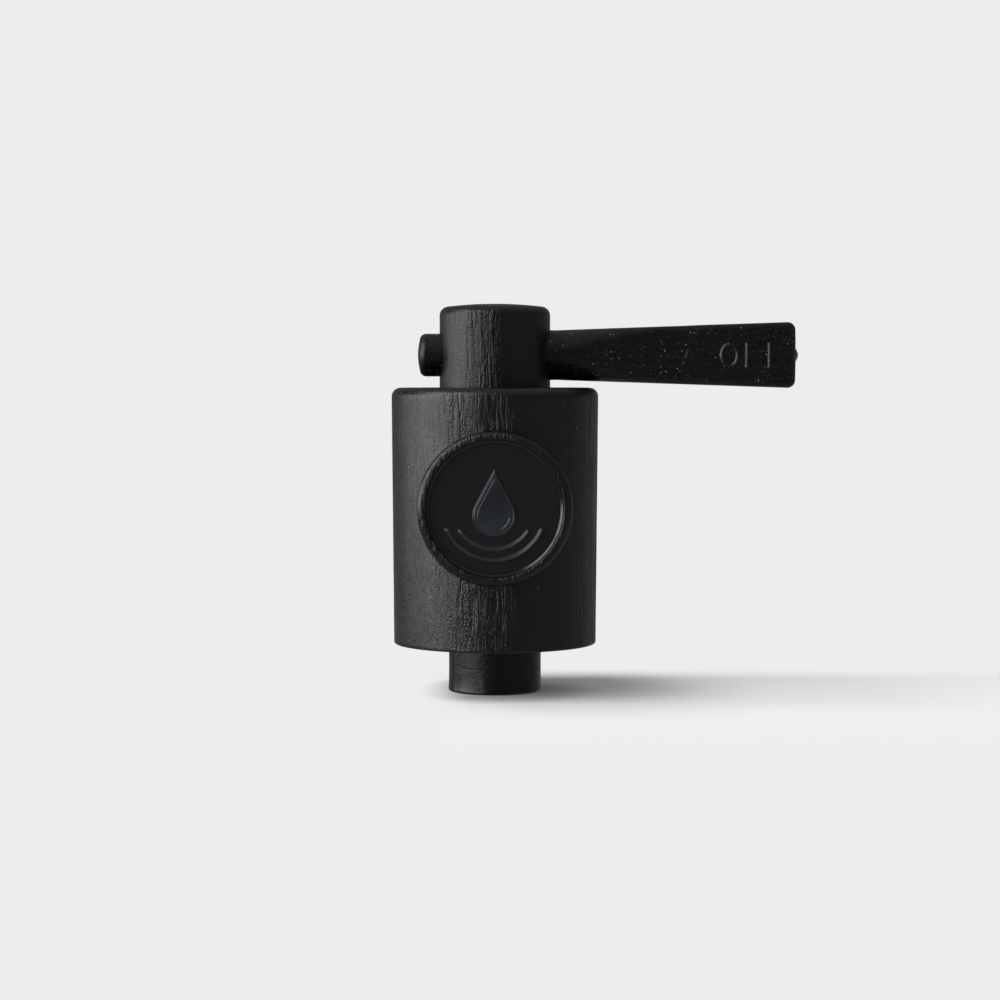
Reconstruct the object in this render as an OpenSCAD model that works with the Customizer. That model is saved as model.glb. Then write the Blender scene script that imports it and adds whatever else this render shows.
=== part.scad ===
// Spigot for a countertop water filter: a plug cock with a barrel-shaped body.
// Origin at the centre of the nozzle's mouth, +Z up, the front towards -Y.
// The lever points to +X when the tap is shut and to -Y when it is open.

/* [Body] */
// Height of the body from its open foot to its deck
body_h = 42.6; // [38:0.2:60]
// Diameter of the body at the deck
body_d = 34.4; // [33:0.2:44]
// Draft of the body, taken off each side at the foot
body_draft = 0.35; // [0:0.05:1]
// Wall of the body's skirt
skirt_wall = 2.4; // [1.6:0.1:2.8]
// Thickness of the deck
deck_t = 3; // [2.4:0.2:5]
// Rounding of the rim round the deck
rim_r = 1.5; // [0.4:0.1:2.2]
// Rounding of the edge at the body's foot
foot_r = 0.3; // [0.2:0.1:0.8]
// Wall of the inner barrel round the plug
barrel_wall = 3; // [2:0.1:3.4]
// How far above the body's foot the inner barrel ends
barrel_rise = 7.8; // [5:0.2:10]
// Thickness of the ribs between barrel and skirt
rib_t = 1.6; // [1:0.1:2.4]
// How far above the body's foot the ribs end
rib_rise = 11; // [6:0.5:16]
// Height of the inlet and of the ring's centre above the body's foot
port_rise = 23.3; // [22:0.1:25]

/* [Ring and medallion] */
// Outside diameter of the ring at its front
ring_d = 24.2; // [20:0.2:26]
// How much wider the ring is at its root, on each side
ring_draft = 0.5; // [0:0.1:1]
// How far the ring's face stands in front of the deck's edge
ring_stand = 0.35; // [0.1:0.05:1.5]
// Width of the round bead on the ring
bead_w = 1.1; // [0.6:0.1:2]
// Clearance round the medallion
medallion_gap = 0.05; // [0.02:0.01:0.2]
// Thickness of the medallion's disc
medallion_t = 1; // [0.8:0.1:1.3]
// Width of the round bead on the medallion's edge
medallion_bead_w = 0.65; // [0.4:0.05:1.2]
// How far the medallion's disc lies behind the ring's face
medallion_sink = 0.5; // [0.3:0.05:0.7]
// How far the drop and the ripples stand out of the disc
relief_t = 0.45; // [0.2:0.05:0.8]
// Height of the drop
drop_h = 11; // [7:0.5:13]
// Width of each ripple
ripple_w = 0.9; // [0.5:0.1:1.1]

/* [Plug] */
// Diameter of the head
head_d = 18.4; // [17.4:0.1:19]
// How far the head stands above the deck
head_h = 13.9; // [12:0.1:18]
// How much the head's top is crowned
head_crown = 0.45; // [0.2:0.05:1.2]
// Rounding of the head's top edge
head_edge_r = 1.5; // [0.4:0.1:1.6]
// How deep the head sits in the deck
seat_depth = 1.8; // [1:0.1:2.2]
// Clearance round and under the head in its seat
seat_gap = 0.2; // [0.1:0.05:0.4]
// Diameter of the spindle
spindle_d = 15.9; // [15.7:0.1:16.6]
// Running clearance round the spindle, on each side
running_gap = 0.05; // [0.02:0.01:0.1]
// Diameter of the nozzle
nozzle_d = 15.2; // [14.8:0.1:15.4]
// How much the nozzle flares at its mouth, on each side
nozzle_flare = 0.12; // [0:0.02:0.14]
// How far the nozzle reaches below the body's foot
nozzle_drop = 8; // [6:0.2:16]
// Diameter of the waterway inside the plug
waterway_d = 8.4; // [7.6:0.1:8.8]
// Diameter of the outlet at the nozzle's mouth
outlet_d = 9.6; // [9:0.1:10.6]
// Length of the outlet
outlet_l = 12; // [8:0.5:13]
// Diameter of the plug's side port
port_d = 6.4; // [5:0.1:6.6]

/* [Stop] */
// Turn of the lever from shut to open, in degrees
turn_deg = 90; // [60:5:120]
// Width of the stop lug under the head, in degrees
lug_deg = 22; // [12:1:40]
// Depth of the stop lug
lug_h = 1.4; // [0.8:0.1:2]
// Play of the lug at each end of its slot, in degrees
lug_play = 1; // [0.5:0.5:3]

/* [Seals and retainer] */
// Thickness of the two O-rings
o_ring_t = 1.56; // [1.2:0.02:1.8]
// Distance of each O-ring from the port's centre
o_ring_reach = 9.4; // [8:0.1:10.4]
// Width of the rubber round the port
port_seal_w = 1.3; // [0.8:0.1:1.4]
// Depth of the port seal's pocket, from the spindle's side
port_seal_t = 2.5; // [2.2:0.1:2.8]
// Clearance round each seal in its groove or pocket
seal_gap = 0.04; // [0.02:0.01:0.06]
// Thickness of the thrust washer
thrust_t = 0.8; // [0.5:0.1:1.2]
// Thickness of the retaining clip
clip_t = 1; // [0.8:0.1:1.2]
// How deep the clip sits in the plug
clip_bite = 0.9; // [0.6:0.1:1.1]
// Width of the clip's ring
clip_w = 2.6; // [2:0.1:3]
// Opening of the clip, in degrees
clip_open = 40; // [30:2:60]
// Play of the washer and the clip along the plug
clip_play = 0.05; // [0.02:0.01:0.1]

/* [Lever] */
// Height of the lever's axis above the deck
lever_rise = 5.4; // [5:0.1:6.4]
// Diameter of the lever where it leaves the head
lever_root_d = 8.3; // [7.8:0.1:9]
// Diameter of the lever's peg on the head's far side
peg_d = 7.1; // [6:0.1:7.6]
// How far the peg comes out of the head
peg_reach = 3.6; // [2:0.05:6]
// Rounding of the peg's end
peg_r = 1.1; // [0.5:0.1:2]
// How much the peg's end is domed
peg_dome = 0.3; // [0.1:0.05:0.6]
// Clearance of the peg in the head
peg_gap = 0.02; // [0.01:0.01:0.05]
// Distance of the lever's tip from the plug's axis
lever_reach = 49.8; // [36:0.1:70]
// Height of the lever at its tip
tip_h = 10.97; // [9:0.01:12]
// Thickness of the lever at its tip
tip_t = 6.4; // [5:0.1:8]
// Rounding of the lever's corners at the tip
tip_r = 1.4; // [0.6:0.1:2]
// How much the lever's end is domed
tip_dome = 0.2; // [0:0.05:0.5]
// Rounding of the lever's long edges
edge_r = 0.9; // [0.4:0.1:1.6]
// Length over which the round root turns into flat sides
blend_l = 20; // [10:1:26]
// How far the gate mark stands out of the tip
gate_h = 0.45; // [0.2:0.05:0.8]
// Diameter of the gate mark
gate_d = 3.2; // [2:0.1:4]

/* [Shank and nut] */
// Diameter of the flange that meets the front washer
flange_d = 24; // [20:0.5:26]
// How far the flange stands out behind the deck's edge
flange_stand = 1.4; // [0.8:0.1:4]
// Rounding of the flange's edge
flange_r = 0.6; // [0.3:0.1:1]
// Outside diameter of the threaded shank
shank_d = 16; // [14:0.1:17]
// Length of the shank behind the flange
shank_l = 22; // [20:0.5:40]
// Chamfer at the shank's end
shank_chamfer = 0.8; // [0.4:0.1:1.2]
// Diameter of the inlet bore in the shank
inlet_d = 10; // [8:0.1:10.6]
// Thickness of the two rubber washers
rubber_t = 2; // [1:0.1:2.5]
// Outside diameter of the washers and of the nut's collar
washer_d = 26; // [23:0.5:30]
// Thickness of the slip washer
slip_t = 0.8; // [0.5:0.1:1.5]
// Thickness of the vessel's wall that the nut is set for
vessel_t = 6; // [4.4:0.1:6.4]
// Clearance of the nut and the washers on the shank, on each side
nut_gap = 0.06; // [0.02:0.01:0.1]
// Width of the nut across its flats
nut_af = 24; // [21:0.5:28]
// Height of the nut with its collar
nut_h = 6.5; // [5:0.1:7]
// Height of the nut's collar
collar_h = 1.4; // [0.8:0.1:2]
// Chamfer on the nut's corners
nut_chamfer = 1; // [0.4:0.1:1.6]

/* [Hidden] */

// Curves: the smooth ones, and those inside the lever's loft
$fn = 96;
LOFT_ARC = 8;
LOFT_STEPS = 12;
TIP_STEPS = 5;
TIP_CORNER = 0.2;

// Overlap that joins solids, and overshoot of the cuts
JOIN = 0.5;
CUT = 1;

// Heights
body_foot = nozzle_drop;
deck_top = body_foot + body_h;
deck_under = deck_top - deck_t;
barrel_foot = body_foot + barrel_rise;
rib_foot = body_foot + rib_rise;
port_z = body_foot + port_rise;
lever_z = deck_top + lever_rise;
head_top = deck_top + head_h;
seat_floor = deck_top - seat_depth;
head_foot = seat_floor + seat_gap;

// Radii round the plug's axis
body_r = body_d / 2;
body_foot_r = body_r - body_draft;
cavity_r = body_r - skirt_wall;
cavity_foot_r = body_foot_r - skirt_wall;
head_r = head_d / 2;
seat_r = head_r + seat_gap;
spindle_r = spindle_d / 2;
bore_r = spindle_r + running_gap;
barrel_r = bore_r + barrel_wall;
nozzle_r = nozzle_d / 2;
waterway_r = waterway_d / 2;

// Flare of the nozzle's mouth: its height, and the steps of its outline
FLARE_H = 3;
FLARE_STEPS = 6;

// Ring and medallion, measured from the plug's axis towards the front
ring_r = ring_d / 2;
ring_root_r = ring_r + ring_draft;
ring_face = body_r + ring_stand;
medallion_face = ring_face - medallion_sink;
recess_floor = medallion_face - medallion_t;
recess_r = ring_r - bead_w;
medallion_r = recess_r - medallion_gap;
disc_r = medallion_r - medallion_bead_w;

// Drop and ripples: the belly's radius and its sink below the middle as shares
// of the drop's height, points on its outline, and the arc of the outer ripple
DROP_BELLY = 0.32;
DROP_LOW = 0.1;
DROP_STEPS = 24;
RIPPLE_DEG = 130;
RIPPLE_STEP = 10;

// Stop lug, on the rear side where the front view doesn't show it
STOP_MIDDLE = 90;
lug_r = head_r - seat_gap;
slot_r = lug_r + seat_gap;
LUG_FLOOR_GAP = 0.2;
lug_start = STOP_MIDDLE + turn_deg / 2 - lug_deg / 2;
slot_start = lug_start - turn_deg - lug_play;
slot_deg = turn_deg + lug_deg + 2 * lug_play;

// Seals and retainer
o_ring_r = bore_r - seal_gap - o_ring_t / 2;
o_groove_r = o_ring_r - o_ring_t / 2 - seal_gap;
O_GROOVE_PLAY = 0.3;
o_groove_h = o_ring_t + O_GROOVE_PLAY;
WATERWAY_OVER_PORT = 1.2;
waterway_top = port_z + port_d / 2 + WATERWAY_OVER_PORT;
port_seal_r = port_d / 2 + seal_gap + port_seal_w;
port_pocket_r = port_seal_r + seal_gap;
port_pocket_floor = spindle_r - port_seal_t;
WASHER_PLAY = 0.1;
washer_bore_r = nozzle_r + nozzle_flare + WASHER_PLAY;
thrust_foot = barrel_foot - clip_play - thrust_t;
clip_foot = thrust_foot - clip_play - clip_t;
clip_inner_r = nozzle_r - clip_bite;
clip_r = clip_inner_r + clip_w;
EAR_R = 1.5;
EAR_HOLE_R = 0.7;

// Shank, measured from the plug's axis towards the rear
shank_r = shank_d / 2;
flange_rim_r = flange_d / 2;
flange_face = body_r + flange_stand;
shank_end = flange_face + shank_l;
front_washer_y = flange_face;
rear_washer_y = front_washer_y + rubber_t + vessel_t;
slip_washer_y = rear_washer_y + rubber_t;
nut_y = slip_washer_y + slip_t;
washer_r = washer_d / 2;
nut_bore_r = shank_r + nut_gap;
nut_top_r = nut_af / 2 - nut_chamfer / 2;
BARREL_PORT_MORE = 0.8;
barrel_port_d = port_d + BARREL_PORT_MORE;

// Lever: the loft starts just outside the head and a little inside the root's
// round, and its domed end has two smaller sections
root_r = lever_root_d / 2;
peg_r_end = peg_d / 2;
ROOT_START = 0.25;
root_x = head_r + ROOT_START;
LOFT_FIT = 0.99;
DOME_SHARES = [0.7, 0.35];
GATE_TAPER = 0.7;

// Radius of the arc that rises by h over half a chord
function arc_r(half_chord, h) = (pow(half_chord, 2) + pow(h, 2)) / (2 * h);

// A quarter of a disc in the first quadrant, which rounds a profile's corner
module quarter(r) {
    intersection() {
        circle(r);
        square(r);
    }
}

// A round bead that stands half out of a face
module bead(w) {
    quarter(w / 2);
    mirror([1, 0]) quarter(w / 2);
}

// Half outline of a shallow dome of height h over a face of radius r
module dome(r, h) {
    intersection() {
        square([r, h]);
        translate([0, h - arc_r(r, h)]) circle(arc_r(r, h));
    }
}

// A flat ring
module ring(r_out, r_in, h) {
    linear_extrude(h) difference() {
        circle(r_out);
        circle(r_in);
    }
}

// A sector of a ring
module sector(r_in, r_out, h, start, span) {
    rotate([0, 0, start]) rotate_extrude(angle = span) {
        translate([r_in, 0]) square([r_out - r_in, h]);
    }
}

// What is drawn along +Z runs from the plug's axis to the front at port height
module to_front() {
    translate([0, 0, port_z]) rotate([90, 0, 0]) children();
}

// The same towards the rear
module to_rear() {
    translate([0, 0, port_z]) rotate([-90, 0, 0]) children();
}

// What is drawn along +Z runs along the lever towards its tip
module along_lever() {
    translate([0, 0, lever_z]) rotate([0, 90, 0]) children();
}

// Solid outline of the body, with its rounded rim and foot
module body_solid() {
    rotate_extrude() {
        polygon([
            [0, body_foot],
            [body_foot_r - foot_r, body_foot],
            [body_foot_r - foot_r, body_foot + foot_r],
            [body_foot_r, body_foot + foot_r],
            [body_r, deck_top - rim_r],
            [body_r - rim_r, deck_top - rim_r],
            [body_r - rim_r, deck_top],
            [0, deck_top]
        ]);
        translate([body_r - rim_r, deck_top - rim_r]) quarter(rim_r);
        translate([body_foot_r - foot_r, body_foot + foot_r]) mirror([0, 1]) quarter(foot_r);
    }
}

// Room between skirt and barrel, open at the foot
module body_cavity() {
    rotate_extrude() polygon([
        [0, body_foot - CUT],
        [cavity_foot_r, body_foot - CUT],
        [cavity_r, deck_under],
        [barrel_r, deck_under],
        [barrel_r, barrel_foot],
        [0, barrel_foot]
    ]);
}

// Ribs that tie the barrel to the skirt, clear of the ring and the flange
module ribs() {
    for (side = [0, 45, 135, 180, 225, 315]) {
        rotate([0, 0, side]) {
            translate([barrel_r - JOIN, -rib_t / 2, rib_foot]) {
                cube([cavity_foot_r - barrel_r + 2 * JOIN, rib_t, deck_under - rib_foot + JOIN]);
            }
        }
    }
}

// Raised ring with its bead, drafted from where it leaves the body's side
module ring_boss() {
    root = sqrt(pow(body_foot_r, 2) - pow(ring_root_r, 2));
    rotate_extrude() {
        polygon([
            [0, 0],
            [ring_root_r, 0],
            [ring_root_r, root],
            [ring_r, ring_face],
            [0, ring_face]
        ]);
        translate([ring_r - bead_w / 2, ring_face]) bead(bead_w);
    }
}

// Round pad whose flat face meets the front washer
module flange() {
    rotate_extrude() {
        polygon([
            [0, 0],
            [flange_rim_r, 0],
            [flange_rim_r, flange_face - flange_r],
            [flange_rim_r - flange_r, flange_face - flange_r],
            [flange_rim_r - flange_r, flange_face],
            [0, flange_face]
        ]);
        translate([flange_rim_r - flange_r, flange_face - flange_r]) quarter(flange_r);
    }
}

// Shank from the barrel to its chamfered end
module shank() {
    rotate_extrude() polygon([
        [0, 0],
        [shank_r, 0],
        [shank_r, shank_end - shank_chamfer],
        [shank_r - shank_chamfer, shank_end],
        [0, shank_end]
    ]);
}

// Web that fills the room over the shank up to the deck, so that the core draws out
module shank_web() {
    intersection() {
        body_solid();
        translate([-shank_r, 0, port_z]) cube([shank_d, body_d, deck_top - port_z]);
    }
}

// Seat of the head, slot of the stop lug and bore of the spindle
module plug_cuts() {
    translate([0, 0, seat_floor]) cylinder(h = seat_depth + CUT, r = seat_r);
    translate([0, 0, seat_floor - lug_h - LUG_FLOOR_GAP]) {
        sector(bore_r - JOIN, slot_r, lug_h + LUG_FLOOR_GAP + CUT, slot_start, slot_deg);
    }
    translate([0, 0, barrel_foot - CUT]) cylinder(h = body_h, r = bore_r);
}

// Inlet through the shank, and its narrower port in the barrel's wall
module inlet_cuts() {
    to_rear() {
        translate([0, 0, barrel_r]) cylinder(h = shank_end, d = inlet_d);
        cylinder(h = shank_end - CUT, d = barrel_port_d);
    }
}

module housing() {
    color("#232325") difference() {
        union() {
            difference() {
                union() {
                    body_solid();
                    to_front() ring_boss();
                    to_rear() flange();
                }
                body_cavity();
            }
            ribs();
            shank_web();
            to_rear() shank();
        }
        to_front() translate([0, 0, recess_floor]) cylinder(h = body_d, r = recess_r);
        plug_cuts();
        inlet_cuts();
    }
}

// Outline of the drop: a round belly below, drawn out to a point above
function drop_outline(h) = let (
    belly = DROP_BELLY * h,
    lean = acos(belly / (h - belly)),
    turn = (360 - 2 * lean) / DROP_STEPS
) concat(
    [[0, h - belly]],
    [for (i = [0:DROP_STEPS]) let (a = 90 - lean - i * turn) belly * [cos(a), sin(a)]]
);

// Drop over two ripples, h thick
module relief(h) {
    translate([0, -DROP_LOW * drop_h]) linear_extrude(h) polygon(drop_outline(drop_h));
    for (i = [0, 1]) {
        outer = disc_r - 2 * (1 + i) * ripple_w;
        span = RIPPLE_DEG - 2 * RIPPLE_STEP * i;
        sector(outer - ripple_w, outer, h, -90 - span / 2, span);
    }
}

module medallion() {
    color("#28292c") to_front() {
        rotate_extrude() {
            translate([0, recess_floor]) square([medallion_r, medallion_t]);
            translate([disc_r, recess_floor]) {
                square([medallion_bead_w, medallion_t + medallion_sink]);
            }
            translate([disc_r + medallion_bead_w / 2, ring_face]) bead(medallion_bead_w);
        }
        translate([0, 0, medallion_face - JOIN]) relief(relief_t + JOIN);
    }
}

// Half outline of the plug, turned round its axis
module plug_outline() {
    rim_z = head_top - head_crown;
    crown_half = head_r - head_edge_r;
    polygon(concat(
        [[0, 0]],
        [for (i = [0:FLARE_STEPS]) let (t = i / FLARE_STEPS) [
            nozzle_r + nozzle_flare * pow(1 - t, 2), FLARE_H * t
        ]],
        [
            [nozzle_r, clip_foot - clip_play],
            [clip_inner_r, clip_foot - clip_play],
            [clip_inner_r, clip_foot + clip_t + clip_play],
            [nozzle_r, clip_foot + clip_t + clip_play],
            [nozzle_r, barrel_foot + seat_gap],
            [spindle_r, barrel_foot + seat_gap],
            [spindle_r, head_foot],
            [head_r, head_foot],
            [head_r, rim_z - head_edge_r],
            [crown_half, rim_z - head_edge_r],
            [crown_half, rim_z],
            [0, rim_z]
        ]
    ));
    translate([crown_half, rim_z - head_edge_r]) quarter(head_edge_r);
    translate([0, rim_z]) dome(crown_half, head_crown);
}

// Where an O-ring's groove starts, above and below the port
function o_groove_foot(side) = port_z + side * o_ring_reach - o_groove_h / 2;

module plug() {
    color("#252527") difference() {
        union() {
            rotate_extrude() difference() {
                plug_outline();
                for (side = [-1, 1]) {
                    translate([o_groove_r, o_groove_foot(side)]) square([CUT + o_ring_t, o_groove_h]);
                }
            }
            translate([0, 0, seat_floor - lug_h]) {
                sector(spindle_r - JOIN, lug_r, lug_h + seat_gap + JOIN, lug_start, lug_deg);
            }
        }
        translate([0, 0, -CUT]) cylinder(h = outlet_l + CUT, d = outlet_d);
        cylinder(h = waterway_top, r = waterway_r);
        translate([0, 0, port_z]) rotate([0, -90, 0]) {
            cylinder(h = body_r, d = port_d);
            translate([0, 0, port_pocket_floor]) cylinder(h = body_r, r = port_pocket_r);
        }
        along_lever() translate([0, 0, -head_r - CUT]) {
            cylinder(h = 2 * (head_r + CUT), r1 = peg_radius(-head_r - CUT) + peg_gap,
                r2 = peg_radius(head_r + CUT) + peg_gap);
        }
    }
}

// Radius of the lever's tapered peg at a place along the lever
function peg_radius(x) = peg_r_end + (root_r - peg_r_end) * (x + head_r) / (2 * head_r);

// Corners of a rounded rectangle across the lever, half_h tall and half_t thick
function lever_section(x, half_h, half_t, r) = [
    for (corner = [[1, 1, 0], [1, -1, 90], [-1, -1, 180], [-1, 1, 270]])
        for (i = [0:LOFT_ARC - 1]) let (a = corner[2] + 90 * i / (LOFT_ARC - 1)) [
            x,
            corner[1] * (half_t - r) + r * cos(a),
            corner[0] * (half_h - r) + r * sin(a)
        ]
];

// Eased step from 0 to 1
function smooth(t) = let (s = min(1, max(0, t))) s * s * (3 - 2 * s);

// Half height, half thickness and corner radius along the lever
function lever_half_h(x) = LOFT_FIT * root_r
    + (tip_h / 2 - LOFT_FIT * root_r) * (x - root_x) / (lever_reach - root_x);
function lever_half_t(x) = LOFT_FIT * root_r
    + (tip_t / 2 - LOFT_FIT * root_r) * smooth((x - root_x) / blend_l);
function lever_corner(x) = let (s = smooth((x - root_x) / blend_l))
    (1 - s) * min(lever_half_h(x), lever_half_t(x)) + s * edge_r;

// Skin over sections that all have as many points
module skin(sections) {
    n = len(sections[0]);
    m = len(sections);
    points = [for (s = sections) for (p = s) p];
    sides = [
        for (i = [0:m - 2]) for (j = [0:n - 1]) let (k = (j + 1) % n)
            [i * n + j, (i + 1) * n + j, (i + 1) * n + k, i * n + k]
    ];
    first = [for (j = [0:n - 1]) j];
    last = [for (j = [0:n - 1]) (m - 1) * n + n - 1 - j];
    polyhedron(points, concat(sides, [first], [last]));
}

// Handle from the head to the tip, with rounded corners at its end
module lever_arm() {
    arm_end = lever_reach - tip_r;
    arm = [for (i = [0:LOFT_STEPS]) let (x = root_x + (arm_end - root_x) * i / LOFT_STEPS)
        lever_section(x, lever_half_h(x), lever_half_t(x), lever_corner(x))];
    tip = [for (i = [1:TIP_STEPS]) let (
        a = 90 * i / TIP_STEPS,
        x = arm_end + tip_r * sin(a),
        inset = tip_r * (1 - cos(a))
    ) lever_section(x, lever_half_h(x) - inset, lever_half_t(x) - inset,
        max(TIP_CORNER, edge_r - inset / 2))];
    dome_h = tip_h / 2 - tip_r;
    dome_t = tip_t / 2 - tip_r;
    dome_end = [for (s = DOME_SHARES) lever_section(
        lever_reach + tip_dome * (1 - s * s), s * dome_h, s * dome_t, s * TIP_CORNER)];
    skin(concat(arm, tip, dome_end));
}

// Tapered peg through the head, with its domed end, along +Z
module peg() {
    face = -head_r - peg_reach + peg_dome;
    flat_r = peg_r_end - peg_r;
    rotate_extrude() {
        polygon([
            [0, face],
            [flat_r, face],
            [flat_r, face + peg_r],
            [peg_r_end, face + peg_r],
            [peg_r_end, -head_r],
            [root_r, head_r],
            [root_r, head_r + JOIN],
            [0, head_r + JOIN]
        ]);
        translate([flat_r, face + peg_r]) mirror([0, 1]) quarter(peg_r);
        translate([0, face]) mirror([0, 1]) dome(flat_r, peg_dome);
    }
}

module lever() {
    color("#1b1b1d") {
        along_lever() {
            peg();
            translate([0, 0, lever_reach - JOIN]) {
                cylinder(h = tip_dome + gate_h + JOIN, d1 = gate_d, d2 = gate_d * GATE_TAPER);
            }
        }
        translate([0, 0, lever_z]) lever_arm();
    }
}

module o_ring(side) {
    translate([0, 0, port_z + side * o_ring_reach]) rotate_extrude() {
        translate([o_ring_r, 0]) circle(d = o_ring_t);
    }
}

module o_ring_upper() {
    color("#141415") o_ring(1);
}

module o_ring_lower() {
    color("#141415") o_ring(-1);
}

// Its outer face follows the bore's wall
module port_seal() {
    color("#141415") intersection() {
        translate([0, 0, port_z]) rotate([0, -90, 0]) {
            translate([0, 0, port_pocket_floor + seal_gap]) ring(port_seal_r, port_d / 2 + seal_gap, body_r);
        }
        translate([0, 0, port_z - body_h / 2]) cylinder(h = body_h, r = bore_r - seal_gap);
    }
}

module thrust_washer() {
    color("#e8e6e0") translate([0, 0, thrust_foot]) ring(barrel_r, washer_bore_r, thrust_t);
}

// Open ring with an ear on both sides of its opening
module retaining_clip() {
    ear_x = clip_r - EAR_R / 2;
    color("#a9abae") translate([0, 0, clip_foot]) difference() {
        union() {
            sector(clip_inner_r + seal_gap, clip_r, clip_t, -90 + clip_open / 2, 360 - clip_open);
            for (side = [-1, 1]) {
                rotate([0, 0, -90 + side * clip_open / 2]) translate([ear_x, 0]) {
                    cylinder(h = clip_t, r = EAR_R);
                }
            }
        }
        for (side = [-1, 1]) {
            rotate([0, 0, -90 + side * clip_open / 2]) translate([ear_x, 0, -CUT]) {
                cylinder(h = clip_t + 2 * CUT, r = EAR_HOLE_R);
            }
        }
    }
}

// A washer of the clamp that holds the spigot in the vessel's wall
module clamp_washer(y, t) {
    to_rear() translate([0, 0, y]) ring(washer_r, nut_bore_r, t);
}

module front_washer() {
    color("#161617") clamp_washer(front_washer_y, rubber_t);
}

module rear_washer() {
    color("#161617") clamp_washer(rear_washer_y, rubber_t);
}

module slip_washer() {
    color("#d9d8d2") clamp_washer(slip_washer_y, slip_t);
}

// Six-sided nut on a round collar, its outer corners chamfered
module lock_nut() {
    color("#1f1f21") to_rear() translate([0, 0, nut_y]) difference() {
        union() {
            cylinder(h = collar_h, r = washer_r);
            intersection() {
                cylinder(h = nut_h, d = nut_af / cos(30), $fn = 6);
                cylinder(h = nut_h, r1 = nut_top_r + nut_h / tan(30), r2 = nut_top_r);
            }
        }
        translate([0, 0, -CUT]) cylinder(h = nut_h + 2 * CUT, r = nut_bore_r);
    }
}

housing();
medallion();
plug();
lever();
o_ring_upper();
o_ring_lower();
port_seal();
thrust_washer();
retaining_clip();
front_washer();
rear_washer();
slip_washer();
lock_nut();
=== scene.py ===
"""Looks of the water filter spigot: grained mouldings, relief, thread, nut, washers and stage."""

import math

import bmesh
import bpy
import numpy as np
from bpy.props import FloatProperty, FloatVectorProperty, IntProperty, PointerProperty
from mathutils import Matrix, Vector


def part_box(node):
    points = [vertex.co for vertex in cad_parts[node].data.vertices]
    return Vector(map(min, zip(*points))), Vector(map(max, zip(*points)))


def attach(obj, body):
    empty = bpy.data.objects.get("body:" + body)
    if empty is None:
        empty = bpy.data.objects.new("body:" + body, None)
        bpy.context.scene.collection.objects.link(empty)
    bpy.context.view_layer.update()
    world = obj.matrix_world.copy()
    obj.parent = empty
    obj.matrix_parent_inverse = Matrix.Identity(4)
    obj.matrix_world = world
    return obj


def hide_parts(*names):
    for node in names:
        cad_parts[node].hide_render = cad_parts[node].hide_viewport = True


bl_info = {
    "name": "Water Filter Spigot",
    "version": (1, 0, 0),
    "blender": (4, 5, 0),
    "location": "3D View > Sidebar > Spigot",
    "description": "Dresses the spigot's frame with grained mouldings, a relief, a thread and a stage",
    "category": "Object",
}

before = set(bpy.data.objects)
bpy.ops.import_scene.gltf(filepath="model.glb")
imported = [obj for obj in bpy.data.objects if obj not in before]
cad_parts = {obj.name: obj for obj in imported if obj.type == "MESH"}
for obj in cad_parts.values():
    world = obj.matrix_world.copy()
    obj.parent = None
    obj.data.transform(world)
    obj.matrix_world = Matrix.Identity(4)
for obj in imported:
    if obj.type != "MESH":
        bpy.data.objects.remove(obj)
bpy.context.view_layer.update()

# Millimetres in the frame's metres
MM = 0.001

# Places that the frame gives
HOUSING_LOW, HOUSING_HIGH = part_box("housing")
PLUG_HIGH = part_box("plug")[1]
LEVER_LOW, LEVER_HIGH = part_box("lever")
NUT_LOW, NUT_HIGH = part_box("lock_nut")
CLIP_LOW, CLIP_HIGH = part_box("retaining_clip")
PORT_Z = (NUT_LOW.z + NUT_HIGH.z) / 2
LEVER_Z = (LEVER_LOW.z + LEVER_HIGH.z) / 2

# Bodies that the pieces ride on
TAP_BODY, TURNING_PLUG, CLAMP_WASHERS, NUT = "tap_body", "turning_plug", "clamp_washers", "nut"

# Overlap of joined solids and overshoot of cuts
JOIN = 0.5 * MM
CUT = 1 * MM


def length(name, text, default, low=0.0):
    """A size in metres, shown in the scene's unit."""
    return FloatProperty(name=name, description=text, default=default, min=low, unit="LENGTH", precision=5)


def colour(name, text, default):
    """A linear colour."""
    return FloatVectorProperty(
        name=name, description=text, default=default, size=3, min=0.0, max=1.0, subtype="COLOR"
    )


class GrainSettings(bpy.types.PropertyGroup):
    """The wood grain that the mould gives body, head and lever."""

    depth: length("Depth", "Depth of the swelling between the lines", 0.065 * MM)
    line_depth: length("Line depth", "Depth of the lines themselves", 0.055 * MM)
    spacing: length("Spacing", "Distance from line to line", 0.6 * MM)
    bead: length("Bead", "Width of one bead in the beaded columns", 0.5 * MM)
    bead_depth: length("Bead depth", "Depth of the creases between the beads", 0.045 * MM)
    speck_depth: length("Speck depth", "Depth of the specks", 0.06 * MM)
    seed: IntProperty(name="Seed", description="Chooses the figure of the grain", default=11)
    least: FloatProperty(name="Least", description="Share of the depth away from the strips of strong grain",
                         default=0.3, min=0.0, max=1.0, subtype="FACTOR")


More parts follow.
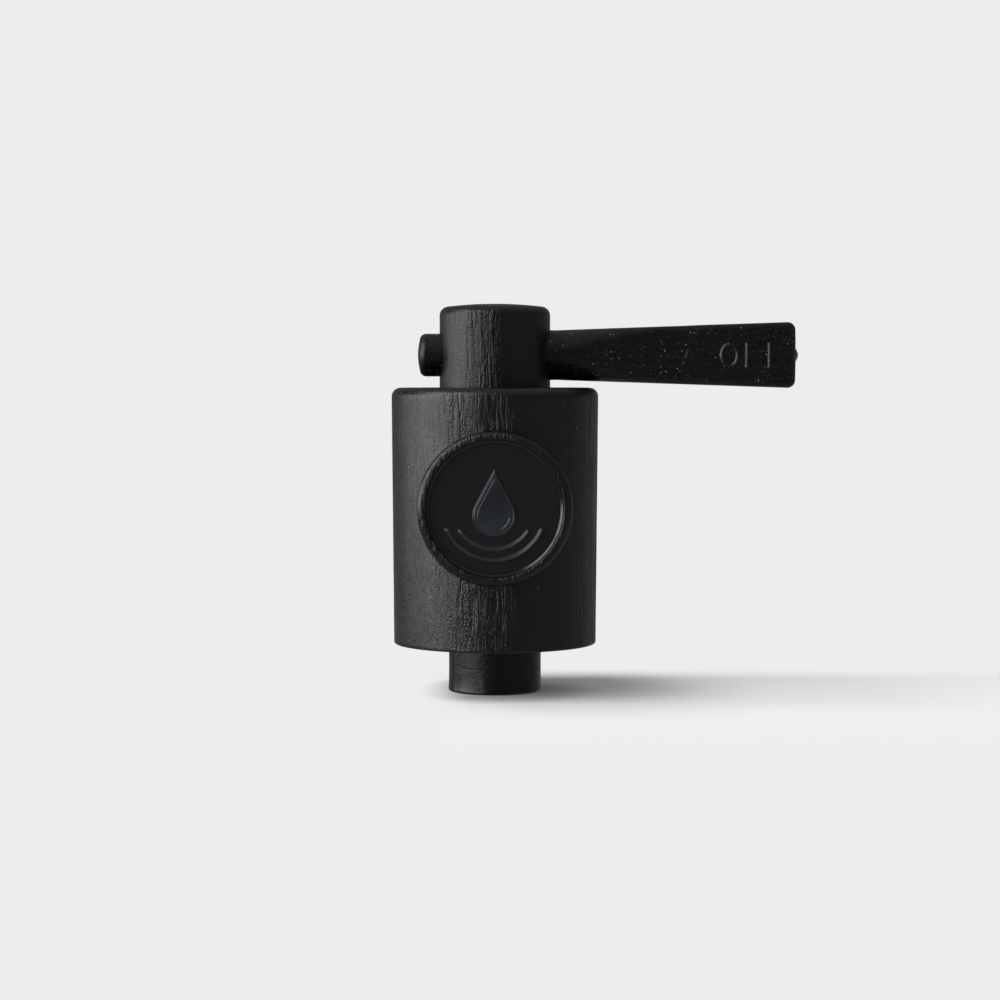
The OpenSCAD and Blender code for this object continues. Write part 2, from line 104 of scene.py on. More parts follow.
class HousingSettings(bpy.types.PropertyGroup):
    """Body, ring boss, flange and shank, which are one moulding."""

    body_radius: length("Body radius", "Radius of the body at its deck", -HOUSING_LOW.x)
    draft: length("Draft", "Taken off the body's radius at the foot", 0.35 * MM)
    rim_round: length("Rim rounding", "Rounding of the rim round the deck", 1.5 * MM)
    foot_round: length("Foot rounding", "Rounding of the foot's edge", 0.3 * MM)
    skirt_wall: length("Skirt wall", "Wall of the body's skirt", 2.4 * MM)
    deck_thickness: length("Deck thickness", "Thickness of the deck", 3 * MM)
    barrel_radius: length("Barrel radius", "Outside radius of the inner barrel", 11 * MM)
    barrel_foot: length("Barrel foot", "Height of the inner barrel's foot", 15.8 * MM)
    rib_foot: length("Rib foot", "Height at which the ribs end", 19 * MM)
    rib_thickness: length("Rib thickness", "Thickness of the ribs", 1.6 * MM)
    bore_radius: length("Bore radius", "Radius of the bore that holds the plug", 8 * MM)
    seat_radius: length("Seat radius", "Radius of the head's seat in the deck", 9.4 * MM)
    seat_depth: length("Seat depth", "Depth of the head's seat", 1.8 * MM)
    ring_radius: length("Ring radius", "Outside radius of the ring", 12.5 * MM)
    ring_draft: length("Ring draft", "How much wider the ring is at its root", 0.1 * MM)
    ring_stand: length("Ring stand", "How far the ring's bead stands in front of the body", 0.89 * MM)
    ring_width: length("Ring width", "Width of the ring", 1.5 * MM)
    ring_round: length("Ring rounding", "Rounding of the ring's outside", 1 * MM)
    ring_inner: length("Ring's inner rounding", "Rounding of the ring's inside", 0.22 * MM)
    recess_floor: length("Recess floor", "Distance of the recess's floor from the plug's axis", 16.05 * MM)
    cavity_round: length("Cavity rounding", "Fillets under the deck, in the room round the barrel", 0.5 * MM)
    port_radius: length("Port radius", "Radius of the port from the shank into the bore", 3.6 * MM)
    flange_radius: length("Flange radius", "Radius of the flange behind the body", 12 * MM)
    flange_stand: length("Flange stand", "How far the flange stands out behind the body", 1.4 * MM)
    flange_round: length("Flange rounding", "Rounding of the flange's edge", 0.6 * MM)


class ThreadSettings(bpy.types.PropertyGroup):
    """Thread of the shank and of the nut on it."""

    crest_radius: length("Crest radius", "Radius over the shank's thread", 8 * MM)
    root_radius: length("Root radius", "Radius under the shank's thread", 7.05 * MM)
    pitch: length("Pitch", "Travel of the nut in one turn", 2 * MM)
    inlet_radius: length("Inlet radius", "Radius of the bore through the shank", 5 * MM)
    nut_clearance: length("Nut clearance", "Clearance of the nut on the shank", 0.06 * MM)
    run_in: length("Run-in", "Distance of the thread's start from the flange's face", 0.9 * MM)
    run_out: length("Run-out", "Distance of the thread's end from the shank's end", 1.2 * MM)


class NutSettings(bpy.types.PropertyGroup):
    """Six-sided lock nut with a round collar."""

    half_flat: length("Half width", "Half the width across the flats", 12 * MM)
    corner: length("Corner rounding", "Rounding of the upright corners", 1 * MM)
    collar_height: length("Collar height", "Height of the round collar", 1.4 * MM)
    collar_round: length("Collar rounding", "Rounding of the collar's edges", 0.3 * MM)
    cone_radius: length("Cone radius", "Radius to which the corners are turned off at the top", 11.5 * MM)
    cone_rise: length("Cone rise", "Height of the turned cone", 4.2 * MM)
    bevel: length("Bevel", "Bevel at the bore's outer end", 0.7 * MM)


class PlugSettings(bpy.types.PropertyGroup):
    """Head, spindle and nozzle, which are one moulding."""

    head_radius: length("Head radius", "Radius of the grained head", PLUG_HIGH.x)
    head_foot: length("Head foot", "Height of the head's underside", 49 * MM)
    head_round: length("Head rounding", "Rounding of the head's top edge", 1.5 * MM)
    head_crown: length("Head crown", "How much the head's top is crowned", 0.45 * MM)
    spindle_radius: length("Spindle radius", "Radius of the spindle", 7.95 * MM)
    nozzle_radius: length("Nozzle radius", "Radius of the nozzle", 7.68 * MM)
    nozzle_flare: length("Nozzle flare", "How much wider the nozzle is at its mouth", 0.1 * MM)
    flare_length: length("Flare length", "Height over which the nozzle widens", 3 * MM)
    mouth_round: length("Mouth rounding", "Rounding of the mouth's outer edge", 0.35 * MM)
    mouth_bevel: length("Mouth bevel", "Bevel of the mouth's inner edge", 0.3 * MM)
    line_height: length("Line height", "Height of the faint line round the nozzle", 4.15 * MM)
    line_depth: length("Line depth", "Depth of the faint line", 0.02 * MM)
    spindle_foot: length("Spindle foot", "Height at which the spindle starts", 16 * MM)
    clip_groove: length("Clip groove", "Radius under the retaining clip's groove", 6.7 * MM)
    clip_play: length("Clip play", "Play of the clip in its groove, on each side", 0.05 * MM)
    outlet_radius: length("Outlet radius", "Radius of the outlet", 4.8 * MM)
    outlet_length: length("Outlet length", "Length of the outlet", 12 * MM)
    waterway_radius: length("Waterway radius", "Radius of the waterway over the outlet", 4.2 * MM)
    waterway_top: length("Waterway top", "Height at which the waterway ends", 35.7 * MM)
    port_radius: length("Port radius", "Radius of the plug's side port", 3.2 * MM)
    port_pocket: length("Port pocket", "Radius of the pocket of the port seal", 4.58 * MM)
    pocket_depth: length("Pocket depth", "Depth of the port seal's pocket", 2.5 * MM)
    o_ring_reach: length("O-ring reach", "Distance of each O-ring from the port", 9.4 * MM)
    o_ring_groove: length("O-ring groove", "Radius under each O-ring's groove", 6.36 * MM)
    o_ring_half: length("O-ring half width", "Half the width of each O-ring's groove", 0.93 * MM)
    peg_clearance: length("Peg clearance", "Clearance of the lever's peg in the head", 0.02 * MM)


class LeverSettings(bpy.types.PropertyGroup):
    """Handle, its peg through the head and the word on it."""

    root_radius: length("Root radius", "Radius where the lever leaves the head", 4.15 * MM)
    peg_radius: length("Peg radius", "Radius of the peg on the head's far side", 3.55 * MM)
    reach: length("Reach", "Distance of the tip's face from the plug's axis", LEVER_HIGH.x - 0.65 * MM)
    tip_height: length("Tip height", "Height of the lever at its tip", 10.97 * MM)
    tip_thickness: length("Tip thickness", "Thickness of the lever at its tip", 6.4 * MM)
    tip_round: length("Tip rounding", "Rounding of the tip's corners", 1.4 * MM)
    edge_round: length("Edge rounding", "Rounding of the long edges", 0.9 * MM)
    blend: length("Blend", "Length over which the round root turns flat", 20 * MM)
    peg_round: length("Peg rounding", "Rounding of the peg's free end", 1.1 * MM)
    peg_dome: length("Peg dome", "How much the peg's free end is domed", 0.3 * MM)
    gate_radius: length("Gate radius", "Radius of the gate mark on the tip", 1.9 * MM)
    word_start: length("Word start", "Distance of the word OFF from the plug's axis", 37.15 * MM)
    letter_height: length("Letter height", "Height of the letters", 4.3 * MM)
    letter_stand: length("Letter stand", "How far the letters stand out", 0.25 * MM)
    stroke: length("Stroke", "Width of the letters' strokes", 0.68 * MM)


class MedallionSettings(bpy.types.PropertyGroup):
    """Smooth disc in the ring, with a drop over two ripples."""

    radius: length("Radius", "Outside radius of the medallion", 10.98 * MM)
    rim_width: length("Rim width", "Width of the raised rim on its edge", 0.38 * MM)
    rim_stand: length("Rim stand", "How far the rim stands out of the disc", 0.31 * MM)
    face: length("Face", "Distance of the disc's face from the plug's axis", 17.05 * MM)
    drop_height: length("Drop height", "Height of the drop", 11 * MM)
    relief: length("Relief", "How far the relief stands out of the disc", 0.45 * MM)
    ripple_width: length("Ripple width", "Width of each ripple", 0.9 * MM)


class FinishSettings(bpy.types.PropertyGroup):
    """Colours of the plastics and the rubber."""

    black: colour("Black plastic", "Body, head, lever and nozzle", (0.0036, 0.0034, 0.0037))
    dust: colour("Dust", "Specks of dust on the grained plastic", (0.45, 0.45, 0.46))
    # The relief's colour is partly its own bluish tint and partly painted sheen.
    relief: colour("Relief", "Drop and ripples on the medallion", (0.018, 0.023, 0.029))
    rubber: colour("Rubber", "Washers and seals", (0.012, 0.012, 0.012))
    natural: colour("Natural plastic", "Slip and thrust washers", (0.62, 0.60, 0.54))
    steel: colour("Spring steel", "Retaining clip", (0.55, 0.55, 0.56))


class StageSettings(bpy.types.PropertyGroup):
    """Camera, lights and floor."""

    eye_distance: length("Eye distance", "Distance of the camera from the plug's axis", 403 * MM)
    eye_height: length("Eye height", "Height of the camera over the floor", 51.9 * MM)
    aim_x: length("Aim across", "Where the camera looks, across", 0.85 * MM, low=-1.0)
    aim_z: length("Aim height", "Where the camera looks, above the floor", 31.85 * MM)
    lens: FloatProperty(name="Lens", description="Focal length in millimetres", default=87.0, min=1.0)
    pale: colour("Floor", "Colour of floor and background", (0.847, 0.847, 0.847))


SETTINGS = {
    "spigot_grain": GrainSettings,
    "spigot_housing": HousingSettings,
    "spigot_thread": ThreadSettings,
    "spigot_nut": NutSettings,
    "spigot_plug": PlugSettings,
    "spigot_lever": LeverSettings,
    "spigot_medallion": MedallionSettings,
    "spigot_finish": FinishSettings,
    "spigot_stage": StageSettings,
}


# Meshes
def new_piece(name, points, faces):
    """A mesh object at the origin from points and faces."""
    mesh = bpy.data.meshes.new(name)
    mesh.from_pydata([tuple(p) for p in points], [], faces)
    mesh.update()
    piece = bpy.data.objects.new(name, mesh)
    bpy.context.scene.collection.objects.link(piece)
    return piece


def spaced(outline, step):
    """The outline with its long straights split, so that no row is higher than the step."""
    rows = [outline[0]]
    for (r0, z0), (r1, z1) in zip(outline, outline[1:]):
        parts = max(1, math.ceil(math.hypot(r1 - r0, z1 - z0) / step - 1e-6))
        rows += [(r0 + (r1 - r0) * i / parts, z0 + (z1 - z0) * i / parts) for i in range(1, parts + 1)]
    return rows


def arc(r, z, radius, start, end, steps):
    """Points of an arc round (r, z), from one angle to another in degrees."""
    angles = [math.radians(start + (end - start) * i / steps) for i in range(steps + 1)]
    return [(r + radius * math.cos(a), z + radius * math.sin(a)) for a in angles]


def lathe(name, outline, count):
    """Turns an outline of (radius, height) points round Z. It runs anticlockwise, and is closed
    either by two points on the axis or by itself."""
    poled = outline[0][0] == 0 and outline[-1][0] == 0
    rings = outline[1:-1] if poled else outline
    angle = np.arange(count) * 2 * math.pi / count
    r, z = np.array(rings).T
    points = np.stack(
        [np.outer(r, np.cos(angle)), np.outer(r, np.sin(angle)), np.outer(z, np.ones(count))], axis=-1
    ).reshape(-1, 3)
    here = np.arange(count)
    after = (here + 1) % count
    faces = []
    last = len(rings) - 1 if poled else len(rings)
    for i in range(last):
        low, high = i * count, ((i + 1) % len(rings)) * count
        faces += np.stack([low + here, low + after, high + after, high + here], axis=-1).tolist()
    if poled:
        foot, head = len(points), len(points) + 1
        points = np.vstack([points, [[0, 0, outline[0][1]], [0, 0, outline[-1][1]]]])
        top = (len(rings) - 1) * count
        faces += [[foot, int(b), int(a)] for a, b in zip(here, after)]
        faces += [[head, int(top + a), int(top + b)] for a, b in zip(here, after)]
    return new_piece(name, points, faces)


def block(name, low, high):
    """A plain box between two corners, used in cuts and joins."""
    (x0, y0, z0), (x1, y1, z1) = low, high
    points = [(x, y, z) for z in (z0, z1) for y in (y0, y1) for x in (x0, x1)]
    faces = [(0, 2, 3, 1), (4, 5, 7, 6), (0, 1, 5, 4), (2, 6, 7, 3), (0, 4, 6, 2), (1, 3, 7, 5)]
    return new_piece(name, points, faces)


def place(piece, matrix):
    """Moves the mesh and leaves the object at the origin."""
    piece.data.transform(matrix)
    piece.data.update()
    return piece


TO_FRONT = Matrix.Translation((0, 0, PORT_Z)) @ Matrix.Rotation(math.radians(90), 4, "X")
TO_REAR = Matrix.Translation((0, 0, PORT_Z)) @ Matrix.Rotation(math.radians(-90), 4, "X")
ALONG_LEVER = Matrix.Translation((0, 0, LEVER_Z)) @ Matrix.Rotation(math.radians(90), 4, "Y")
TO_LEFT = Matrix.Translation((0, 0, PORT_Z)) @ Matrix.Rotation(math.radians(-90), 4, "Y")


def settle(piece):
    """Makes what the modifiers give the piece's own mesh."""
    graph = bpy.context.evaluated_depsgraph_get()
    mesh = bpy.data.meshes.new_from_object(piece.evaluated_get(graph))
    piece.modifiers.clear()
    old, piece.data = piece.data, mesh
    mesh.name = piece.name
    bpy.data.meshes.remove(old)
    return piece


def combine(piece, operation, *tools):
    """Joins the tools to the piece, or cuts them out of it, and removes them."""
    for tool in tools:
        modifier = piece.modifiers.new(tool.name, "BOOLEAN")
        modifier.operation, modifier.solver, modifier.object = operation, "MANIFOLD", tool
    settle(piece)
    if not piece.data.polygons:
        raise RuntimeError(f"nothing is left of {piece.name}")
    for tool in tools:
        bpy.data.objects.remove(tool)
    return piece


def join(piece, *tools):
    """The piece with the tools joined to it."""
    return combine(piece, "UNION", *tools)


def cut(piece, *tools):
    """The piece with the tools cut out of it."""
    return combine(piece, "DIFFERENCE", *tools)


def finish_piece(piece, body, nodes, slot, *materials, sharp=40):
    """Smooth shading with sharp edges, the finish, the body that it rides on and what it stands for."""
    mesh = piece.data
    mesh.materials.clear()
    for material in materials:
        mesh.materials.append(material)
    mesh.shade_smooth()
    mesh.set_sharp_from_angle(angle=math.radians(sharp))
    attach(piece, body)
    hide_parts(*nodes)
    return piece


# Nodes
class Sheet:
    """Adds nodes to a tree. A value that is a socket is linked, and any other is set."""

    def __init__(self, tree):
        self.tree = tree
        self.count = 0

    def add(self, kind, values=(), **settings):
        node = self.tree.nodes.new(kind)
        node.location = (220 * (self.count // 6), -260 * (self.count % 6))
        self.count += 1
        for name, value in settings.items():
            setattr(node, name, value)
        for key, value in dict(values).items():
            if isinstance(value, bpy.types.NodeSocket):
                self.tree.links.new(value, node.inputs[key])
            else:
                node.inputs[key].default_value = value
        return node

    def math(self, operation, *values, clamp=False):
        return self.add("ShaderNodeMath", enumerate(values), operation=operation, use_clamp=clamp).outputs[0]

    def vector(self, operation, *values):
        return self.add("ShaderNodeVectorMath", enumerate(values), operation=operation).outputs[0]

    def noise(self, vector, seed, detail=0.0, roughness=0.5, scale=1.0):
        values = {"Vector": vector, "W": seed, "Scale": scale, "Detail": detail, "Roughness": roughness}
        return self.add("ShaderNodeTexNoise", values, noise_dimensions="4D")

    def remap(self, value, low, high, to_low=0.0, to_high=1.0):
        values = {"Value": value, "From Min": low, "From Max": high, "To Min": to_low, "To Max": to_high}
        return self.add("ShaderNodeMapRange", values, interpolation_type="SMOOTHSTEP").outputs["Result"]


# Columns of beads on the front: place across and half width in millimetres, and strength
BEAD_COLUMNS = ((-9.2, 0.5, 0.35), (-7.0, 0.55, 0.7), (-4.5, 0.8, 1.0), (-0.5, 0.45, 0.8))


class Grain:
    """Parts of the moulded grain at a spot in millimetres, each 0 on the surface and 1 at its deepest.
    Long lines, finer lines and a few cracks run along an axis, and columns of beads lie between them."""

    def __init__(self, sheet, spot, along, grain):
        self.sheet, self.along, self.seed = sheet, along, float(grain.seed)
        self.spot = self.swayed(self.swayed(spot, 0.25, 0.1, 1.5, 1), 1.3, 0.8, 0.3, 2)
        per_line = 0.63 * MM / grain.spacing
        strength = sheet.remap(self.figure(0.3, 0.035, 4), 0.36, 0.58, 0.25, 1.0)
        self.swells = sheet.math("MULTIPLY", self.creases(per_line, 0.06 * per_line, 3, 0.17), strength)
        self.lines = sheet.math("MULTIPLY", self.creases(per_line, 0.06 * per_line, 3, 0.06), strength)
        self.fine_lines = self.creases(2.7 * per_line, 0.12 * per_line, 5, 0.1)
        cracked = sheet.remap(self.figure(0.5, 0.12, 6), 0.46, 0.54)
        self.cracks = sheet.math("MULTIPLY", self.creases(0.42, 0.07, 7, 0.025), cracked)
        per_bead = MM / grain.bead
        cells = sheet.add(
            "ShaderNodeTexVoronoi",
            {"Vector": self.stretch(self.spot, per_bead, 1.25 * per_bead), "Scale": 1.0, "Randomness": 0.85},
            feature="F1",
        ).outputs["Distance"]
        self.beads = sheet.remap(cells, 0.15, 0.62)
        columns = sheet.remap(self.figure(0.62, 0.015, 8), 0.49, 0.54)
        self.band = sheet.math("MULTIPLY", columns, sheet.remap(self.figure(0.13, 0.01, 9), 0.42, 0.5))
        if along == "Z":
            self.band = self.chosen_columns()

    def chosen_columns(self):
        """The bead columns of the front, and scattered ones from the sides on."""
        sheet = self.sheet
        parts = sheet.add("ShaderNodeSeparateXYZ", {0: self.spot}).outputs
        across, depth = parts["X"], parts["Y"]
        front = 0.0
        for middle, half, strength in BEAD_COLUMNS:
            away = sheet.math("ABSOLUTE", sheet.math("SUBTRACT", across, middle))
            front = sheet.math("MAXIMUM", sheet.remap(away, half - 0.2, half + 0.2, strength, 0.0), front)
        front = sheet.math("MULTIPLY", front, sheet.remap(self.figure(0.2, 0.1, 10), 0.36, 0.5, 0.3, 1.0))
        beside = sheet.remap(depth, -13.0, -10.0)
        front = sheet.math("MULTIPLY", front, sheet.math("SUBTRACT", 1.0, beside))
        return sheet.math("MAXIMUM", front, sheet.math("MULTIPLY", self.band, beside))

    def swayed(self, spot, across, lengthways, reach, number):
        """The spot moved about by a noise, so that what runs along it isn't straight."""
        sway = self.sheet.noise(self.stretch(spot, across, lengthways), self.seed + number, detail=1.0)
        sway = self.sheet.vector("SUBTRACT", sway.outputs["Color"], (0.5,) * 3)
        return self.sheet.vector("ADD", spot, self.sheet.vector("MULTIPLY", sway, (reach,) * 3))

    def stretch(self, spot, across, lengthways):
        """The spot scaled along the grain and across it."""
        scale = [lengthways if axis == self.along else across for axis in "XYZ"]
        return self.sheet.vector("MULTIPLY", spot, scale)

    def figure(self, across, lengthways, number):
        """A noise stretched along the grain."""
        spot = self.stretch(self.spot, across, lengthways)
        return self.sheet.noise(spot, self.seed + number, detail=1.0).outputs["Fac"]

    def creases(self, across, lengthways, number, width):
        """Lines where a stretched noise passes its middle."""
        over = self.sheet.math("SUBTRACT", self.figure(across, lengthways, number), 0.5)
        return self.sheet.remap(self.sheet.math("ABSOLUTE", over), 0.0, width, 1.0, 0.0)

    def between_bands(self, value, least):
        """The value, of which only the least share is left in the columns of beads."""
        return self.sheet.math("MULTIPLY", value, self.sheet.remap(self.band, 0.0, 1.0, 1.0, least))


def node_tree(name, inputs):
    """An empty Geometry Nodes tree with a geometry, named sizes and a material as its inputs."""
    tree = bpy.data.node_groups.new(name, "GeometryNodeTree")
    tree.interface.new_socket("Geometry", in_out="INPUT", socket_type="NodeSocketGeometry")
    for label, kind in {**inputs, "Material": "NodeSocketMaterial"}.items():
        tree.interface.new_socket(label, in_out="INPUT", socket_type=kind)
    tree.interface.new_socket("Geometry", in_out="OUTPUT", socket_type="NodeSocketGeometry")
    return tree


def close_tree(sheet, source, geometry):
    """Ends a tree: real geometry with the material on it."""
    real = sheet.add("GeometryNodeRealizeInstances", {"Geometry": geometry}).outputs["Geometry"]
    painted = sheet.add("GeometryNodeSetMaterial", {"Geometry": real, "Material": source["Material"]})
    sheet.add("NodeGroupOutput", {"Geometry": painted.outputs["Geometry"]})


def grow(piece, tree, **inputs):
    """Runs a Geometry Nodes tree on the piece and keeps the result as its plain mesh."""
    modifier = piece.modifiers.new(tree.name, "NODES")
    modifier.node_group = tree
    sockets = {s.name: s.identifier for s in tree.interface.items_tree if s.in_out == "INPUT"}
    for name, value in inputs.items():
        modifier[sockets[name]] = value
    return settle(piece)


def grain_tree(along, grain):
    """Presses the wood grain into a mesh, as deep as its point attribute "grain" says."""
    tree = node_tree("wood_grain_" + along.lower(), {"Depth": "NodeSocketFloat"})
    sheet = Sheet(tree)
    source = sheet.add("NodeGroupInput").outputs
    spot = sheet.vector("SCALE", sheet.add("GeometryNodeInputPosition").outputs[0])
    spot.node.inputs["Scale"].default_value = 1 / MM
    figure = Grain(sheet, spot, along, grain)
    height = figure.between_bands(figure.swells, 0.4)
    share = sheet.add(
        "GeometryNodeInputNamedAttribute", {"Name": "grain"}, data_type="FLOAT"
    ).outputs["Attribute"]
    inward = sheet.math("MULTIPLY", source["Depth"], -1.0)
    sink = sheet.math("MULTIPLY", sheet.math("MULTIPLY", height, share), inward)
    normal = sheet.add("GeometryNodeInputNormal").outputs["Normal"]
    offset = sheet.vector("SCALE", normal)
    tree.links.new(sink, offset.node.inputs["Scale"])
    moved = sheet.add("GeometryNodeSetPosition", {"Geometry": source["Geometry"], "Offset": offset})
    close_tree(sheet, source, moved.outputs["Geometry"])
    return tree


def thread_tree():
    """A right-handed thread's ridge: a trapezoid swept along a spiral, fading out at both ends."""
    labels = ("Radius", "Pitch", "Turns", "Start", "Foot", "Crest", "Root width", "Crest width")
    tree = node_tree("thread_ridge", {label: "NodeSocketFloat" for label in labels})
    sheet = Sheet(tree)
    source = sheet.add("NodeGroupInput").outputs
    rise = sheet.math("MULTIPLY", source["Pitch"], source["Turns"])
    spiral = sheet.add(
        "GeometryNodeCurveSpiral",
        {"Resolution": 72, "Rotations": source["Turns"], "Start Radius": source["Radius"],
         "End Radius": source["Radius"], "Height": rise, "Reverse": True},
    ).outputs["Curve"]
    upright = sheet.add("GeometryNodeSetCurveNormal", {"Curve": spiral}, mode="Z_UP").outputs["Curve"]

    def corner(width, reach, side):
        across = sheet.math("MULTIPLY", width, 0.5 * side)
        return sheet.add("ShaderNodeCombineXYZ", {"X": reach, "Y": across}).outputs[0]

    outline = sheet.add(
        "GeometryNodeCurvePrimitiveQuadrilateral",
        {"Point 1": corner(source["Root width"], source["Foot"], -1),
         "Point 2": corner(source["Crest width"], source["Crest"], -1),
         "Point 3": corner(source["Crest width"], source["Crest"], 1),
         "Point 4": corner(source["Root width"], source["Foot"], 1)},
        mode="POINTS",
    ).outputs["Curve"]
    along = sheet.add("GeometryNodeSplineParameter").outputs["Factor"]
    turns_in = sheet.math("MULTIPLY", along, source["Turns"])
    turns_left = sheet.math("SUBTRACT", source["Turns"], turns_in)
    fade = sheet.remap(sheet.math("MINIMUM", turns_in, turns_left), 0.0, 0.3, 0.3, 1.0)
    ridge = sheet.add(
        "GeometryNodeCurveToMesh",
        {"Curve": upright, "Profile Curve": outline, "Scale": fade, "Fill Caps": True},
    ).outputs["Mesh"]
    lift = sheet.add("ShaderNodeCombineXYZ", {"Z": source["Start"]}).outputs[0]
    lifted = sheet.add(
        "GeometryNodeTransform", {"Geometry": ridge, "Translation": lift}
    ).outputs["Geometry"]
    close_tree(sheet, source, lifted)
    return tree


# Even places of the ribs round the plug's axis, the first one on +X
RIB_PLACES = 8


def rib_tree():
    """Ribs between barrel and skirt: boxes on all places round the axis but the front and the rear one."""
    labels = ("Inner", "Outer", "Thickness", "Foot", "Top")
    tree = node_tree("barrel_ribs", {label: "NodeSocketFloat" for label in labels})
    sheet = Sheet(tree)
    source = sheet.add("NodeGroupInput").outputs
    reach = sheet.math("SUBTRACT", source["Outer"], source["Inner"])
    rise = sheet.math("SUBTRACT", source["Top"], source["Foot"])
    size = sheet.add("ShaderNodeCombineXYZ", {"X": reach, "Y": source["Thickness"], "Z": rise}).outputs[0]
    rib = sheet.add("GeometryNodeMeshCube", {"Size": size}).outputs["Mesh"]
    middle = sheet.add(
        "ShaderNodeCombineXYZ",
        {"X": sheet.math("ADD", source["Inner"], sheet.math("MULTIPLY", reach, 0.5)),
         "Z": sheet.math("ADD", source["Foot"], sheet.math("MULTIPLY", rise, 0.5))},
    ).outputs[0]
    rib = sheet.add("GeometryNodeTransform", {"Geometry": rib, "Translation": middle}).outputs["Geometry"]
    places = sheet.add("GeometryNodeMeshLine", {"Count": RIB_PLACES, "Offset": (0, 0, 0)}).outputs["Mesh"]
    index = sheet.add("GeometryNodeInputIndex").outputs[0]
    from_side = sheet.math("MODULO", index, RIB_PLACES / 2)
    front_or_rear = sheet.math("COMPARE", from_side, RIB_PLACES / 4, 0.1)
    kept = sheet.math("SUBTRACT", 1.0, front_or_rear)
    angle = sheet.math("MULTIPLY", index, math.radians(360 / RIB_PLACES))
    turn = sheet.add("ShaderNodeCombineXYZ", {"Z": angle}).outputs[0]
    placed = sheet.add(
        "GeometryNodeInstanceOnPoints",
        {"Points": places, "Instance": rib, "Selection": kept, "Rotation": turn},
    ).outputs["Instances"]
    close_tree(sheet, source, placed)
    return tree


# Finishes
def material_sheet(name):
    """A new material with its sheet, its shader and the object's coordinates in millimetres."""
    material = bpy.data.materials.new(name)
    material.use_nodes = True
    tree = material.node_tree
    shader = tree.nodes["Principled BSDF"]
    sheet = Sheet(tree)
    spot = sheet.vector("SCALE", sheet.add("ShaderNodeTexCoord").outputs["Object"])
    spot.node.inputs["Scale"].default_value = 1 / MM
    return material, sheet, shader, spot


def bump(sheet, shader, *layers):
    """Lets each layer, a height from 0 to 1, press the surface in by its depth."""
    heights = [sheet.math("MULTIPLY", height, depth / MM) for height, depth in layers]
    total = heights[0]
    for height in heights[1:]:
        total = sheet.math("ADD", total, height)
    node = sheet.add("ShaderNodeBump", {"Height": total, "Strength": 1.0, "Distance": MM}, invert=True)
    sheet.tree.links.new(node.outputs["Normal"], shader.inputs["Normal"])


def tint(sheet, shader, share, first, second):
    """Mixes two colours by a share into the shader's colour."""
    mix = sheet.add("ShaderNodeMix", {0: share}, data_type="RGBA")
    mix.inputs[6].default_value = (*first, 1)
    mix.inputs[7].default_value = (*second, 1)
    sheet.tree.links.new(mix.outputs[2], shader.inputs["Base Color"])


def shade_of(colour_value, factor):
    """The colour made darker or lighter by a factor."""
    return tuple(min(1.0, c * factor) for c in colour_value)


def specks(sheet, spot, spacing, size, kept):
    """Small round pits, of which only a share is kept."""
    cells = sheet.add(
        "ShaderNodeTexVoronoi", {"Vector": spot, "Scale": MM / spacing, "Randomness": 1.0}, feature="F1"
    )
    pits = sheet.remap(cells.outputs["Distance"], 0.0, size / spacing, 1.0, 0.0)
    chosen = sheet.add("ShaderNodeSeparateColor", {0: cells.outputs["Color"]}).outputs[0]
    return sheet.math("MULTIPLY", pits, sheet.math("LESS_THAN", chosen, kept))


def grained_plastic(name, along, gloss, tone, dusty):
    """Satin black plastic under moulded wood grain, with specks that catch the light, a share of dust, and
    painted shade that darkens the black in the grain's lines and bead creases.
    """
    scene = bpy.context.scene
    grain, black, dust = scene.spigot_grain, scene.spigot_finish.black, scene.spigot_finish.dust
    material, sheet, shader, spot = material_sheet(name)
    figure = Grain(sheet, spot, along, grain)
    share = sheet.add("ShaderNodeAttribute", attribute_name="grain").outputs["Fac"]
    beads = sheet.math("MULTIPLY", sheet.math("MULTIPLY", figure.beads, figure.band), share)
    lines = figure.between_bands(sheet.math("MAXIMUM", figure.lines, figure.cracks), 0.4)
    lines = sheet.math("MULTIPLY", lines, share)
    fine_lines = sheet.math("MULTIPLY", figure.fine_lines, sheet.math("MAXIMUM", share, 0.6))
    fine = sheet.noise(spot, 3.0, detail=3.0, roughness=0.6, scale=3.6).outputs["Fac"]
    pits = specks(sheet, spot, 0.6 * MM, 0.12 * MM, 0.4)
    bump(
        sheet, shader, (lines, grain.line_depth), (fine_lines, 0.4 * grain.line_depth),
        (beads, grain.bead_depth), (fine, 0.4 * grain.line_depth), (pits, grain.speck_depth),
    )
    wear = sheet.noise(spot, 8.0, detail=4.0, scale=0.21).outputs["Fac"]
    worn = sheet.math("ADD", sheet.math("MULTIPLY", wear, 0.7), sheet.math("MULTIPLY", fine, 0.3))
    sheet.tree.links.new(sheet.remap(worn, 0.3, 0.7, 0.25, 0.35), shader.inputs["Roughness"])
    shader.inputs["Specular IOR Level"].default_value = gloss
    # Painted shade: the black is halved in the grain's lines and in the creases between the beads.
    painted_crease_shade = sheet.math("MAXIMUM", lines, beads)
    # The tone lightens or darkens the same black for each piece, as painted light and shade.
    tint(sheet, shader, painted_crease_shade, shade_of(black, tone), shade_of(black, 0.5 * tone))
    heaps = sheet.remap(sheet.noise(spot, 12.0, detail=2.0, scale=0.2).outputs["Fac"], 0.42, 0.6, 0.12, 1.0)
    coarse = specks(sheet, spot, 0.7 * MM, 0.12 * MM, sheet.math("MULTIPLY", heaps, 0.6 * dusty))
    elsewhere = sheet.vector("ADD", spot, (3.7, 1.9, 5.3))
    small = specks(sheet, elsewhere, 0.42 * MM, 0.085 * MM, sheet.math("MULTIPLY", heaps, dusty))
    grains = sheet.math("MAXIMUM", coarse, sheet.math("MULTIPLY", small, 0.4))
    dusted = sheet.add("ShaderNodeMix", {0: grains, 6: shader.inputs["Base Color"].links[0].from_socket},
                       data_type="RGBA")
    dusted.inputs[7].default_value = (*dust, 1)
    sheet.tree.links.new(dusted.outputs[2], shader.inputs["Base Color"])
    return material
